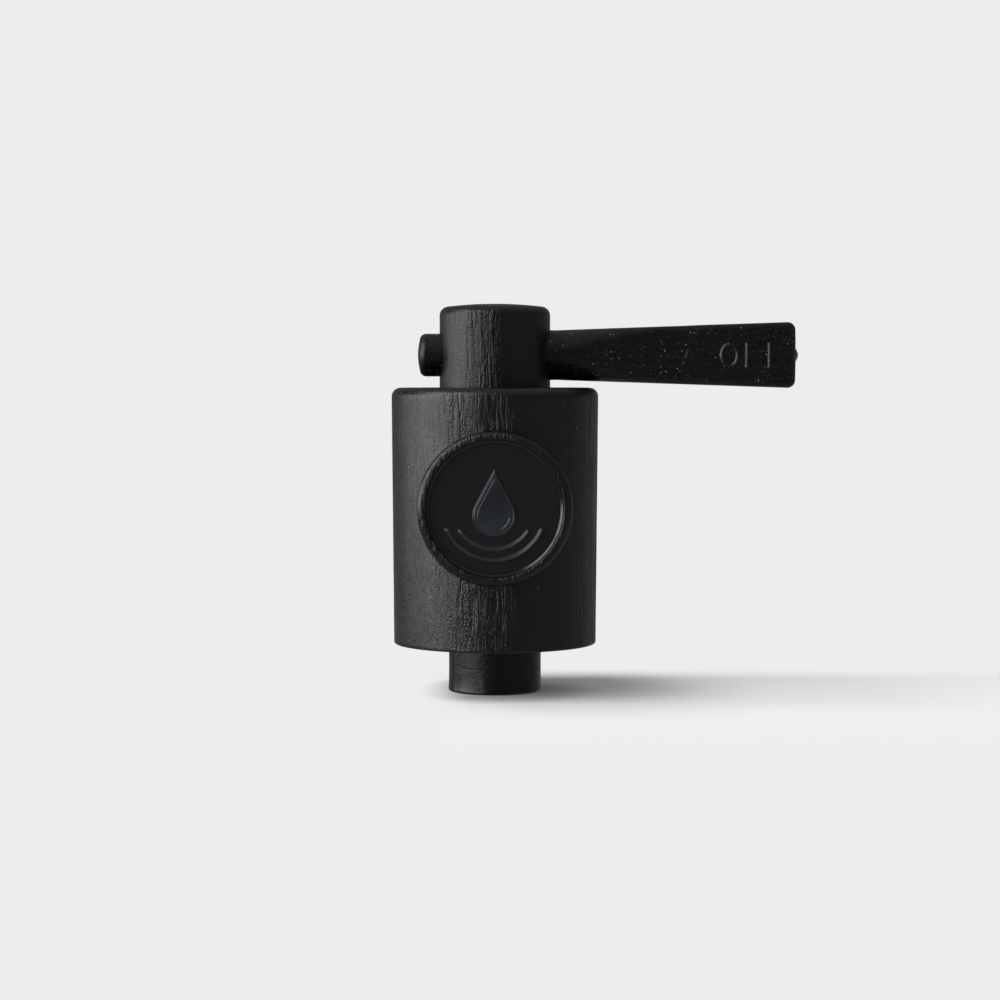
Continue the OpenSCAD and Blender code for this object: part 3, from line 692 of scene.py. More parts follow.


# Grained plastics: axis of the grain, gloss, tone of the black and share of dust. The tone is painted light
# and shade: one black plastic made lighter on the head and darker on the lever.
GRAINED_PLASTICS = {
    "grained_plastic_upright": ("Z", 0.5, 1.2, 0.05),
    "grained_plastic_head": ("Z", 0.38, 1.9, 0.05),
    "grained_plastic_lengthways": ("X", 0.42, 0.7, 0.75),
}


def grained_finish(name):
    """One of the grained plastics."""
    return finish(name, grained_plastic, name, *GRAINED_PLASTICS[name])


def smooth_plastic(name, base, rough_low, rough_high, depth=0.004 * MM):
    """Smooth moulded plastic with faint flow marks and a few scuffed patches."""
    material, sheet, shader, spot = material_sheet(name)
    flow = sheet.noise(sheet.vector("MULTIPLY", spot, (0.5, 0.5, 1.4)), 5.0, detail=4.0).outputs["Fac"]
    fine = sheet.noise(spot, 6.0, detail=2.0, scale=7.0).outputs["Fac"]
    patches = sheet.remap(sheet.noise(spot, 14.0, detail=1.0, scale=0.22).outputs["Fac"], 0.58, 0.68)
    scratched = sheet.noise(sheet.vector("MULTIPLY", spot, (1.6, 1.6, 3.5)), 15.0, detail=3.0).outputs["Fac"]
    scuffs = sheet.math("MULTIPLY", patches, sheet.remap(scratched, 0.45, 0.6))
    bump(sheet, shader, (flow, depth), (fine, 0.4 * depth), (scuffs, 0.03 * MM))
    sheet.tree.links.new(sheet.remap(flow, 0.3, 0.7, rough_low, rough_high), shader.inputs["Roughness"])
    tint(sheet, shader, sheet.remap(fine, 0.3, 0.75), shade_of(base, 0.95), shade_of(base, 1.08))
    return material


def medallion_plastic():
    """Smooth dark disc, brushed faintly across, its black lightened 1.7 times as painted light, and whose
    raised relief has a lighter bluish colour that is partly its own tint and partly painted sheen.
    """
    colours = bpy.context.scene.spigot_finish
    medallion = bpy.context.scene.spigot_medallion
    material, sheet, shader, spot = material_sheet("medallion_plastic")
    brushed = sheet.noise(sheet.vector("MULTIPLY", spot, (0.7, 1.0, 9.0)), 2.0, detail=3.0).outputs["Fac"]
    bump(sheet, shader, (brushed, 0.007 * MM))
    face = medallion.face / MM
    parts = sheet.add("ShaderNodeSeparateXYZ", {0: spot}).outputs
    stand = sheet.math("MULTIPLY", parts["Y"], -1.0)
    raised = sheet.remap(stand, face + 0.05, face + 0.7 * medallion.relief / MM)
    above = sheet.math("SUBTRACT", parts["Z"], PORT_Z / MM)
    squares = sheet.math("ADD", sheet.math("POWER", parts["X"], 2.0), sheet.math("POWER", above, 2.0))
    edge = medallion.radius / MM
    inside = sheet.remap(sheet.math("SQRT", squares), edge - 0.8, edge - 0.5, 1.0, 0.0)
    cloud = sheet.remap(sheet.noise(spot, 7.0, scale=0.16).outputs["Fac"], 0.25, 0.75, 0.3, 1.0)
    relief_tint_and_sheen = sheet.math("MULTIPLY", sheet.math("MULTIPLY", raised, inside), cloud)
    # Painted light: the disc's black is lightened, and the raised relief gets a lighter bluish colour that
    # partly stands in for its sheen.
    tint(sheet, shader, relief_tint_and_sheen, shade_of(colours.black, 1.7), colours.relief)
    satin = sheet.remap(inside, 0.0, 1.0, 0.15, 0.34)
    roughness = sheet.math("SUBTRACT", satin, sheet.math("MULTIPLY", relief_tint_and_sheen, 0.12))
    sheet.tree.links.new(roughness, shader.inputs["Roughness"])
    return material


def rubber():
    """Matt black rubber with a fine mould texture and a little bloom."""
    material, sheet, shader, spot = material_sheet("seal_rubber")
    fine = sheet.noise(spot, 1.0, detail=4.0, scale=3.1).outputs["Fac"]
    bump(sheet, shader, (fine, 0.02 * MM))
    sheet.tree.links.new(sheet.remap(fine, 0.3, 0.7, 0.55, 0.75), shader.inputs["Roughness"])
    base = bpy.context.scene.spigot_finish.rubber
    tint(sheet, shader, sheet.remap(fine, 0.35, 0.75), base, shade_of(base, 2.1))
    return material


def natural_plastic():
    """Waxy natural plastic, slightly translucent."""
    material, sheet, shader, spot = material_sheet("natural_plastic")
    cloud = sheet.noise(spot, 4.0, detail=3.0, scale=0.6).outputs["Fac"]
    bump(sheet, shader, (sheet.noise(spot, 9.0, detail=2.0, scale=4.0).outputs["Fac"], 0.008 * MM))
    sheet.tree.links.new(sheet.remap(cloud, 0.3, 0.7, 0.35, 0.5), shader.inputs["Roughness"])
    base = bpy.context.scene.spigot_finish.natural
    tint(sheet, shader, sheet.remap(cloud, 0.3, 0.7), shade_of(base, 0.93), shade_of(base, 1.05))
    shader.inputs["Subsurface Weight"].default_value = 0.15
    shader.inputs["Subsurface Radius"].default_value = (0.0012, 0.0011, 0.0009)
    return material


def spring_steel():
    """Stamped spring steel with rolling marks."""
    material, sheet, shader, spot = material_sheet("clip_steel")
    rolled = sheet.noise(sheet.vector("MULTIPLY", spot, (6.0, 0.5, 6.0)), 7.0, detail=3.0).outputs["Fac"]
    bump(sheet, shader, (rolled, 0.004 * MM))
    sheet.tree.links.new(sheet.remap(rolled, 0.3, 0.7, 0.25, 0.42), shader.inputs["Roughness"])
    base = bpy.context.scene.spigot_finish.steel
    tint(sheet, shader, rolled, shade_of(base, 0.9), shade_of(base, 1.08))
    shader.inputs["Metallic"].default_value = 1.0
    return material


def finish(name, make, *values):
    """The material of that name, made at its first use."""
    return bpy.data.materials.get(name) or make(*values)


def smooth_black():
    """The smooth black of nozzle, spindle, shank and inside: the black lightened 2.3 times, which is painted
    light.
    """
    # Painted light: the same black plastic made lighter for the smooth parts.
    base = shade_of(bpy.context.scene.spigot_finish.black, 2.3)
    material = finish("smooth_black", smooth_plastic, "smooth_black", base, 0.2, 0.29)
    material.node_tree.nodes["Principled BSDF"].inputs["Specular IOR Level"].default_value = 0.28
    return material


# Grain on the shapes
def set_grain(piece, share_of):
    """Writes how strongly the grain shows at each point."""
    count = len(piece.data.vertices)
    spots = np.zeros(count * 3)
    piece.data.vertices.foreach_get("co", spots)
    shares = share_of(spots.reshape(-1, 3)).astype(np.float32)
    piece.data.attributes.new("grain", "FLOAT", "POINT").data.foreach_set("value", shares)


def eased(value, low, high):
    """0 below low, 1 above high and a smooth step between."""
    t = np.clip((value - low) / (high - low), 0, 1)
    return t * t * (3 - 2 * t)


# Strips of strong grain: middle and half width in degrees round the plug's axis, from +X
GRAIN_STRIPS = ((-101, 21), (-20, 16), (58, 24), (148, 22))


def strip_share(spots, least):
    """Full depth on the strips of strong grain and the least share between them."""
    angle = np.degrees(np.arctan2(spots[:, 1], spots[:, 0]))
    share = np.zeros(len(spots))
    for middle, half in GRAIN_STRIPS:
        away = np.abs((angle - middle + 180) % 360 - 180)
        share = np.maximum(share, 1 - eased(away, half - 13, half + 13))
    return least + (1 - least) * share


def slot_by_place(piece, is_grained):
    """Gives grained faces the first material and all others the second."""
    polygons = piece.data.polygons
    centres = np.zeros(len(polygons) * 3)
    polygons.foreach_get("center", centres)
    centres = centres.reshape(-1, 3)
    polygons.foreach_set("material_index", np.where(is_grained(centres), 0, 1).astype(np.int32))


def press_grain(piece, along, material):
    """Presses the wood grain into the piece, as deep as set_grain says, and gives it the material."""
    grain = bpy.context.scene.spigot_grain
    tree = bpy.data.node_groups.get("wood_grain_" + along.lower()) or grain_tree(along, grain)
    return grow(piece, tree, Depth=grain.depth, Material=material)


# Housing
# Points round the body and the height of one row of its side
BODY_COUNT = 720
ROW = 0.46 * MM
# Stop of the lever's turn: depth of its slot under the head's seat, and start and span, in degrees,
# of the slot in the deck and of the lug that runs in it
STOP_DEPTH = 1.6 * MM
STOP_SLOT = (33, 114)
STOP_LUG = (124, 22)


def body_skin(sizes, least):
    """Solid body with its grained side, rounded foot and rim."""
    foot, deck = HOUSING_LOW.z, HOUSING_HIGH.z
    low_r, high_r = sizes.body_radius - sizes.draft, sizes.body_radius
    outline = [(0, foot), (low_r - sizes.foot_round, foot)]
    outline += arc(low_r - sizes.foot_round, foot + sizes.foot_round, sizes.foot_round, -72, 0, 4)
    outline += [(high_r, deck - sizes.rim_round)]
    outline += arc(high_r - sizes.rim_round, deck - sizes.rim_round, sizes.rim_round, 11, 90, 7)
    outline += [(sizes.seat_radius - JOIN, deck), (0, deck)]
    outline = outline[:2] + spaced(outline[2:-1], ROW) + outline[-1:]
    skin = lathe("grained_housing", outline, BODY_COUNT)

    def share(spots):
        side = eased(spots[:, 2], foot - 0.1 * MM, foot + 0.8 * MM)
        top = eased(spots[:, 2], deck - 1.5 * MM, deck - 0.7 * MM)
        return side * (1 - 0.65 * top) * strip_share(spots, least)

    set_grain(skin, share)
    return skin


def ring_boss(sizes, least):
    """Raised ring, rounded outside and drafted to its root, with the body's grain running over it."""
    top = sizes.body_radius + sizes.ring_stand
    root_r = sizes.ring_radius + sizes.ring_draft
    root = math.sqrt((sizes.body_radius - sizes.draft) ** 2 - root_r**2)
    outer = sizes.ring_round
    inner = sizes.ring_inner
    crest_r = sizes.ring_radius - outer
    inner_r = sizes.ring_radius - sizes.ring_width + inner
    outline = [(0, 0), (root_r, 0), (root_r, root)]
    outline += spaced([(root_r, root), (sizes.ring_radius, top - outer)], ROW)[1:]
    outline += arc(crest_r, top - outer, outer, 0, 90, 12)[1:]
    outline += arc(inner_r, top - inner, inner, 90, 180, 5)
    outline += [(0, top - inner)]
    boss = lathe("ring_boss", outline, 480)
    place(boss, TO_FRONT)

    def share(spots):
        stands_out = eased(-spots[:, 1], root, root + MM)
        return stands_out * (0.25 + 0.55 * strip_share(spots, least))

    set_grain(boss, share)
    return boss


def flange(sizes):
    """Round pad behind the body."""
    face = sizes.body_radius + sizes.flange_stand
    edge = sizes.flange_round
    outline = [(0, 0), (sizes.flange_radius, 0)]
    outline += arc(sizes.flange_radius - edge, face - edge, edge, 0, 90, 6) + [(0, face)]
    return place(lathe("flange", outline, 160), TO_REAR)


def cavity(sizes):
    """Room between skirt and barrel, open at the foot."""
    foot = HOUSING_LOW.z
    under = HOUSING_HIGH.z - sizes.deck_thickness
    high_r = sizes.body_radius - sizes.skirt_wall
    fillet = sizes.cavity_round
    outline = [(0, foot - CUT), (high_r - sizes.draft, foot - CUT), (high_r, under - fillet)]
    outline += arc(high_r - fillet, under - fillet, fillet, 15, 90, 4)
    outline += arc(sizes.barrel_radius + fillet, under - fillet, fillet, 90, 180, 5)
    outline += [(sizes.barrel_radius, sizes.barrel_foot), (0, sizes.barrel_foot)]
    return lathe("cavity", outline, 180)


def ring_sector(name, inner, outer, low, high, start, span, steps):
    """A closed sector of a ring, from a start angle over a span in degrees."""
    points, faces = [], []
    for i in range(steps + 1):
        a = math.radians(start + span * i / steps)
        points += [(r * math.cos(a), r * math.sin(a), z) for r, z in
                   ((inner, low), (outer, low), (outer, high), (inner, high))]
    for i in range(steps):
        for j in range(4):
            k = (j + 1) % 4
            faces.append((4 * i + j, 4 * i + 4 + j, 4 * i + 4 + k, 4 * i + k))
    faces += [(0, 1, 2, 3), (4 * steps + 3, 4 * steps + 2, 4 * steps + 1, 4 * steps)]
    return facing_out(new_piece(name, points, faces))


def cylinder(name, radius, low, high, count=96):
    """A plain closed cylinder along Z, used in cuts and joins."""
    return lathe(name, [(0, low), (radius, low), (radius, high), (0, high)], count)


def thread_on(piece_name, thread, radius, start, turns, foot, crest, root_width, crest_width):
    """A thread's ridge along Z, as a closed mesh."""
    ridge = new_piece(piece_name, [(0, 0, 0)], [])
    tree = bpy.data.node_groups.get("thread_ridge") or thread_tree()
    return facing_out(grow(
        ridge, tree, Radius=radius, Pitch=thread.pitch, Turns=turns, Start=start, Foot=foot, Crest=crest,
        **{"Root width": root_width, "Crest width": crest_width, "Material": smooth_black()},
    ))


def thread_start(sizes, thread):
    """Distance from the plug's axis at which the shank's thread starts."""
    return sizes.body_radius + sizes.flange_stand + thread.run_in


def shank(sizes, thread):
    """Core and ridge of the threaded shank."""
    end = HOUSING_HIGH.y
    face = sizes.body_radius + sizes.flange_stand
    bevel = 0.3 * MM
    core = place(lathe("shank", [
        (0, 0), (thread.crest_radius, 0), (thread.crest_radius, face + 0.4 * MM),
        (thread.root_radius, face + 0.8 * MM), (thread.root_radius, end - bevel),
        (thread.root_radius - bevel, end), (0, end),
    ], 144), TO_REAR)
    start = thread_start(sizes, thread)
    turns = (end - start - thread.run_out) / thread.pitch
    ridge = place(thread_on(
        "shank_thread", thread, thread.root_radius, start, turns, -0.25 * MM,
        thread.crest_radius - thread.root_radius, 0.78 * thread.pitch, 0.24 * thread.pitch,
    ), TO_REAR)
    return core, ridge


class SPIGOT_OT_housing(bpy.types.Operator):
    """Builds the grained housing with its ring boss, flange, ribs and threaded shank"""

    bl_idname = "spigot.housing"
    bl_label = "Housing"

    def execute(self, context):
        scene = context.scene
        sizes, thread, least = scene.spigot_housing, scene.spigot_thread, scene.spigot_grain.least
        deck, end = HOUSING_HIGH.z, HOUSING_HIGH.y
        grained = grained_finish("grained_plastic_upright")
        housing = press_grain(body_skin(sizes, least), "Z", grained)
        boss = press_grain(ring_boss(sizes, least), "Z", grained)
        join(housing, boss, flange(sizes))
        cut(housing, cavity(sizes))

        skirt_r = sizes.body_radius - sizes.skirt_wall
        ribs = grow(
            new_piece("ribs", [(0, 0, 0)], []), rib_tree(), Inner=sizes.barrel_radius - JOIN, Outer=skirt_r,
            Thickness=sizes.rib_thickness, Foot=sizes.rib_foot, Top=deck - sizes.deck_thickness + JOIN,
            Material=smooth_black(),
        )
        web_r = thread.crest_radius
        web = block("web", (-web_r, 0, PORT_Z), (web_r, skirt_r, deck - JOIN))
        join(housing, ribs, web, *shank(sizes, thread))

        inside_r = sizes.ring_radius - sizes.ring_width
        past_ring = sizes.recess_floor + 5 * MM
        seat_floor = deck - sizes.seat_depth
        recess = place(cylinder("recess", inside_r, sizes.recess_floor, past_ring, 240), TO_FRONT)
        seat = cylinder("seat", sizes.seat_radius, seat_floor, deck + CUT, 240)
        bore = cylinder("bore", sizes.bore_radius, sizes.barrel_foot - CUT, deck, 192)
        slot = ring_sector("stop_slot", sizes.bore_radius - JOIN, sizes.seat_radius - 0.2 * MM,
                           seat_floor - STOP_DEPTH, seat_floor + CUT, *STOP_SLOT, 38)
        inlet = place(cylinder("inlet", thread.inlet_radius, sizes.barrel_radius, end + CUT), TO_REAR)
        port = place(cylinder("port", sizes.port_radius, 0, end), TO_REAR)
        cut(housing, recess, seat, bore, slot, inlet, port)

        def is_grained(spots):
            from_axis = np.hypot(spots[:, 0], spots[:, 1])
            skirt = from_axis > sizes.body_radius - sizes.draft - 0.8 * MM
            deck_face = spots[:, 2] > deck - 0.3 * MM
            from_ring = np.hypot(spots[:, 0], spots[:, 2] - PORT_Z)
            front = (spots[:, 1] < 0) & (from_ring > inside_r + 0.01 * MM)
            rear = (spots[:, 1] > 0) & (from_ring > sizes.flange_radius + 0.02 * MM)
            ring = (spots[:, 1] < -0.6 * sizes.body_radius) & (from_axis > sizes.body_radius - MM)
            return (front | rear) & (skirt | ring) | deck_face

        finish_piece(housing, TAP_BODY, ["housing"], "grained_plastic", grained, smooth_black(), sharp=48)
        slot_by_place(housing, is_grained)
        return {"FINISHED"}


# Plug
def head_crown(sizes):
    """Height at which the head's crown starts, its half width, its sphere and half its angle in degrees."""
    start = PLUG_HIGH.z - sizes.head_crown
    half = sizes.head_radius - sizes.head_round
    sphere = (half**2 + sizes.head_crown**2) / (2 * sizes.head_crown)
    return start, half, sphere, math.degrees(math.asin(half / sphere))


def nozzle_outline(sizes):
    """Outline of the waterway and the nozzle, from the waterway's top down and up to the clip's groove."""
    nozzle_r = sizes.nozzle_radius
    bevel, rounding = sizes.mouth_bevel, sizes.mouth_round
    outline = [(0, sizes.waterway_top), (sizes.waterway_radius, sizes.waterway_top),
               (sizes.waterway_radius, sizes.outlet_length), (sizes.outlet_radius, sizes.outlet_length),
               (sizes.outlet_radius, bevel), (sizes.outlet_radius + bevel, 0)]
    outline += arc(nozzle_r + sizes.nozzle_flare - rounding, rounding, rounding, -90, 0, 5)
    steps = 6
    for i in range(1, steps + 1):
        outline.append((nozzle_r + sizes.nozzle_flare * (1 - i / steps) ** 2, sizes.flare_length * i / steps))
    for away, depth in NOZZLE_LINE:
        outline.append((nozzle_r - depth * sizes.line_depth, sizes.line_height + away * MM))
    return outline + [(nozzle_r, CLIP_LOW.z - sizes.clip_play)]


def spindle_outline(sizes):
    """Outline of the clip's groove and the spindle with its O-ring grooves, up to the head's foot."""
    low, high = CLIP_LOW.z - sizes.clip_play, CLIP_HIGH.z + sizes.clip_play
    spindle_r = sizes.spindle_radius
    outline = [(sizes.clip_groove, low), (sizes.clip_groove, high), (sizes.nozzle_radius, high),
               (sizes.nozzle_radius, sizes.spindle_foot), (spindle_r, sizes.spindle_foot)]
    for side in (-1, 1):
        middle = PORT_Z + side * sizes.o_ring_reach
        low, high = middle - sizes.o_ring_half, middle + sizes.o_ring_half
        outline += [(spindle_r, low), (sizes.o_ring_groove, low)]
        outline += [(sizes.o_ring_groove, high), (spindle_r, high)]
    return outline + [(spindle_r, sizes.head_foot)]


def head_outline(sizes):
    """Outline of the head: its side, its rounded edge and its crown."""
    start, half, sphere, half_angle = head_crown(sizes)
    foot = sizes.head_foot
    bevel = 0.2 * MM
    side = [(sizes.head_radius, foot + bevel), (sizes.head_radius, start - sizes.head_round)]
    side += arc(half, start - sizes.head_round, sizes.head_round, 8, 90, 7)
    for i in range(1, 16):
        angle = math.radians(half_angle * (1 - i / 16))
        side.append((sphere * math.sin(angle), start + sizes.head_crown - sphere * (1 - math.cos(angle))))
    return [(sizes.head_radius - bevel, foot)] + spaced(side, 0.4 * MM) + [(0, PLUG_HIGH.z)]


# Faint line round the nozzle: height from its middle in millimetres, and share of its depth
NOZZLE_LINE = ((-0.17, 0), (-0.07, 0), (0, 1), (0.07, 0), (0.17, 0))


class SPIGOT_OT_plug(bpy.types.Operator):
    """Builds the plug: grained head, spindle with its port and grooves, and smooth nozzle"""

    bl_idname = "spigot.plug"
    bl_label = "Plug"

    def execute(self, context):
        scene = context.scene
        sizes, least, lever = scene.spigot_plug, scene.spigot_grain.least, scene.spigot_lever
        head_r, foot = sizes.head_radius, sizes.head_foot
        top = head_crown(sizes)[0]
        outline = nozzle_outline(sizes) + spindle_outline(sizes) + head_outline(sizes)
        plug = lathe("grained_plug", outline, 480)

        def share(spots):
            on_head = eased(spots[:, 2], foot + 0.4 * MM, foot + MM)
            outside = np.hypot(spots[:, 0], spots[:, 1]) > sizes.waterway_radius + MM
            crown = eased(spots[:, 2], top - 0.5 * MM, top + 0.05 * MM)
            side = np.where(outside | (spots[:, 2] > top - MM), strip_share(spots, least), 0.0)
            return on_head * side * (1 - 0.45 * crown)

        set_grain(plug, share)
        grained = grained_finish("grained_plastic_head")
        press_grain(plug, "Z", grained)

        lug = ring_sector("stop_lug", sizes.spindle_radius - JOIN, head_r - 0.2 * MM,
                          foot - STOP_DEPTH, foot + JOIN, *STOP_LUG, 12)
        join(plug, lug)
        outside = sizes.spindle_radius + 4 * MM
        port = place(cylinder("port", sizes.port_radius, 0, outside), TO_LEFT)
        pocket_floor = sizes.spindle_radius - sizes.pocket_depth
        pocket = place(cylinder("pocket", sizes.port_pocket, pocket_floor, outside), TO_LEFT)
        reach = head_r + CUT
        slope = (lever.root_radius - lever.peg_radius) / (2 * head_r) * CUT
        near_r = lever.root_radius + slope + sizes.peg_clearance
        far_r = lever.peg_radius - slope + sizes.peg_clearance
        hole_outline = [(0, -reach), (far_r, -reach), (near_r, reach), (0, reach)]
        hole = place(lathe("peg_hole", hole_outline, 128), ALONG_LEVER)
        cut(plug, port, pocket, hole)

        def is_grained(spots):
            from_axis = np.hypot(spots[:, 0], spots[:, 1])
            from_peg = np.hypot(spots[:, 1], spots[:, 2] - LEVER_Z)
            in_hole = (from_peg < lever.root_radius + 0.05 * MM) & (from_axis < head_r - 0.12 * MM)
            return (spots[:, 2] > foot + 0.1 * MM) & ~in_hole

        finish_piece(plug, TURNING_PLUG, ["plug"], "grained_plastic", grained, smooth_black(), sharp=48)
        slot_by_place(plug, is_grained)
        return {"FINISHED"}


# Lever
def rounded_section(half_h, half_t, corner, count):
    """Evenly spaced points (y, z) round a rounded rectangle, from the middle of its front side."""
    straight_h, straight_t = 2 * (half_h - corner), 2 * (half_t - corner)
    bend = corner * math.pi / 2
    runs = [straight_h / 2, bend, straight_t, bend, straight_h, bend, straight_t, bend, straight_h / 2]
    ends = np.cumsum([0] + runs)
    centres = [(-1, 1), (1, 1), (1, -1), (-1, -1)]
    points = []
    for s in np.arange(count) * ends[-1] / count:
        i = min(int(np.searchsorted(ends, s, side="right")) - 1, 8)
        d = s - ends[i]
        if i % 2:
            k = i // 2
            cy, cz = centres[k]
            a = math.radians(180 - 90 * k) - d / max(corner, 1e-9)
            y = cy * (half_t - corner) + corner * math.cos(a)
            z = cz * (half_h - corner) + corner * math.sin(a)
            points.append((y, z))
        elif i == 0:
            points.append((-half_t, d))
        elif i == 2:
            points.append((-half_t + corner + d, half_h))
        elif i == 4:
            points.append((half_t, half_h - corner - d))
        elif i == 6:
            points.append((half_t - corner - d, -half_h))
        else:
            points.append((-half_t, -half_h + corner + d))
    return np.array(points)


def lever_arm(lever, head_radius):
    """Handle that turns from a round root into a flat paddle, with a rounded, slightly domed end."""
    count = 240
    root_x = head_radius + 0.25 * MM
    root_r = 0.99 * lever.root_radius
    arm_end = lever.reach - lever.tip_round

    def half_h(x):
        return root_r + (lever.tip_height / 2 - root_r) * (x - root_x) / (lever.reach - root_x)

    def blend(x):
        return float(eased(np.array((x - root_x) / lever.blend), 0, 1))

    def half_t(x):
        return root_r + (lever.tip_thickness / 2 - root_r) * blend(x)

    def corner(x):
        s = blend(x)
        return (1 - s) * min(half_h(x), half_t(x)) + s * lever.edge_round

    sections = []
    steps = math.ceil((arm_end - root_x) / (0.36 * MM))
    for i in range(steps + 1):
        x = root_x + (arm_end - root_x) * i / steps
        sections.append((x, rounded_section(half_h(x), half_t(x), corner(x), count)))
    for i in range(1, 9):
        a = math.radians(90 * i / 8)
        x = arm_end + lever.tip_round * math.sin(a)
        inset = lever.tip_round * (1 - math.cos(a))
        tip_corner = max(0.2 * MM, corner(x) - inset / 2)
        sections.append((x, rounded_section(half_h(x) - inset, half_t(x) - inset, tip_corner, count)))
    last = sections[-1][1]
    dome = LEVER_HIGH.x - lever.reach - 0.45 * MM
    for share in (0.9, 0.8, 0.7, 0.6, 0.5, 0.4, 0.3, 0.2, 0.1):
        sections.append((lever.reach + dome * (1 - share * share), last * share))
    points = np.concatenate([np.column_stack([np.full(count, x), section]) for x, section in sections])
    here = np.arange(count)
    after = (here + 1) % count
    faces = []
    for i in range(len(sections) - 1):
        low, high = i * count, (i + 1) * count
        faces += np.stack([low + here, high + here, high + after, low + after], axis=-1).tolist()
    root, tip = len(points), len(points) + 1
    points = np.vstack([points, [[root_x, 0, 0], [lever.reach + dome, 0, 0]]])
    top = (len(sections) - 1) * count
    faces += [[root, int(a), int(b)] for a, b in zip(here, after)]
    faces += [[tip, int(top + b), int(top + a)] for a, b in zip(here, after)]
    arm = new_piece("grained_lever", points, faces)
    place(arm, Matrix.Translation((0, 0, LEVER_Z)))
    return facing_out(arm)


def rounded_levels(stand, half_width):
    """Height and inset of each step up the sloped side of a stroke, which is rounded at its top."""
    return [(-JOIN, 0.0), (0.0, 0.0), (0.85 * stand, 0.75 * half_width), (0.96 * stand, 0.86 * half_width),
            (stand, 0.95 * half_width)]


def face_strip(rows, count, closed):
    """Quads between rows of points, and caps over the first and the last row where the strip is open."""
    faces = []
    for i in range(rows if closed else rows - 1):
        for j in range(count):
            k, n = (j + 1) % count, (i + 1) % rows
            faces.append((i * count + j, i * count + k, n * count + k, n * count + j))
    if not closed:
        faces += [tuple(range(count))[::-1], tuple(range((rows - 1) * count, rows * count))]
    return faces


def facing_out(piece):
    """Turns all faces outward."""
    mesh = bmesh.new()
    mesh.from_mesh(piece.data)
    bmesh.ops.recalc_face_normals(mesh, faces=mesh.faces)
    mesh.to_mesh(piece.data)
    mesh.free()
    return piece


def stroke(name, start, end, width, front, stand):
    """A rounded bar that stands out of the lever's front, from one point (x, z) to another."""
    start, end = Vector(start), Vector(end)
    along = (end - start).normalized()
    side = Vector((-along.y, along.x))
    points = []
    levels = rounded_levels(stand, width / 2)
    for height, inset in levels:
        half = width / 2 - inset
        for place_on, across in ((start, 1), (start, -1), (end, -1), (end, 1)):
            back = inset if place_on is start else -inset
            p = place_on + along * back + side * across * half
            points.append((p.x, front - height, p.y))
    return facing_out(new_piece(name, points, face_strip(len(levels), 4, False)))


def oval(name, centre, width, height, line, front, stand):
    """A rounded ring that stands out of the lever's front."""
    up = rounded_levels(stand, line / 2)
    section = up + [(h, line - inset) for h, inset in reversed(up)]
    count = 64
    points = []
    for h, inset in section:
        for a in np.arange(count) * 2 * math.pi / count:
            x = centre[0] + (width / 2 - inset) * math.cos(a)
            z = centre[1] + (height / 2 - inset) * math.sin(a)
            points.append((x, front - h, z))
    return facing_out(new_piece(name, points, face_strip(len(section), count, True)))


# Letters: width of the O, places of the stems and length of the arms, as shares of their height
O_WIDTH = 0.77
STEM_PLACES = (0.98, 1.84)
ARM_LENGTH = 0.56


def raised_word(lever, front):
    """The word OFF beside the lever's tip, and the worn strokes of a turning arrow before it."""
    line, height, stand = lever.stroke, lever.letter_height, lever.letter_stand
    low, high = LEVER_Z - 0.51 * height, LEVER_Z + 0.49 * height
    first = lever.word_start
    wide = O_WIDTH * height
    centre = (first + wide / 2, (low + high) / 2)
    pieces = [oval("letter_o", centre, wide, height, line, front, 0.8 * stand)]
    for i, stem_place in enumerate(STEM_PLACES):
        stem = first + stem_place * height
        middle = stem + line / 2
        reach = stem + ARM_LENGTH * height
        pieces.append(stroke(f"stem_{i}", (middle, low), (middle, high), line, front, stand))
        upper = (high - line / 2, reach, 0.45 * stand)
        lower = (low + 0.54 * height, reach - 0.4 * MM, 0.4 * stand)
        for j, (z, end, arm_stand) in enumerate((upper, lower)):
            pieces.append(stroke(f"arm_{i}_{j}", (stem, z), (end, z), line, front, arm_stand))
    for i, (x0, z0, x1, z1) in enumerate(WORN_ARROW):
        start, end = (x0 * MM, z0 * MM), (x1 * MM, z1 * MM)
        pieces.append(stroke(f"worn_{i}", start, end, 0.7 * MM, front, 0.8 * stand))
    return pieces


# Strokes of the worn arrow, each from (x, z) to (x, z) in millimetres
WORN_ARROW = (
    (27.2, 58.5, 29.7, 56.6),
    (32.2, 56.9, 31.5, 55.3),
    (31.5, 54.9, 31.2, 54.3),
    (30.95, 53.4, 30.7, 53.0),
)


def lever_peg(lever, head_r):
    """Tapered peg through the head, with its rounded and domed free end."""
    far = LEVER_LOW.x
    dome, edge = lever.peg_dome, lever.peg_round
    flat_r = lever.peg_radius - edge
    sphere = (flat_r**2 + dome**2) / (2 * dome)
    outline = [(0, far)]
    for i in range(1, 4):
        r = flat_r * i / 4
        outline.append((r, far + sphere - math.sqrt(sphere**2 - r**2)))
    outline += arc(flat_r, far + dome + edge, edge, -90, 0, 9)
    outline += spaced([(lever.peg_radius, -head_r), (lever.root_radius, head_r)], 3 * MM)
    outline += [(lever.root_radius, head_r + JOIN), (0, head_r + JOIN)]
    return place(lathe("peg", outline, 160), ALONG_LEVER)


def gate_mark(lever):
    """Round swelling on the tip, where the plastic ran into the mould."""
    tip = LEVER_HIGH.x
    steps = 12
    outline = [(0, lever.reach - JOIN), (lever.gate_radius, lever.reach - JOIN)]
    for i in range(steps + 1):
        swell = 0.5 - 0.5 * math.cos(math.pi * i / steps)
        outline.append((lever.gate_radius * (1 - i / steps), lever.reach + (tip - lever.reach) * swell))
    return place(lathe("gate_mark", outline, 48), ALONG_LEVER)


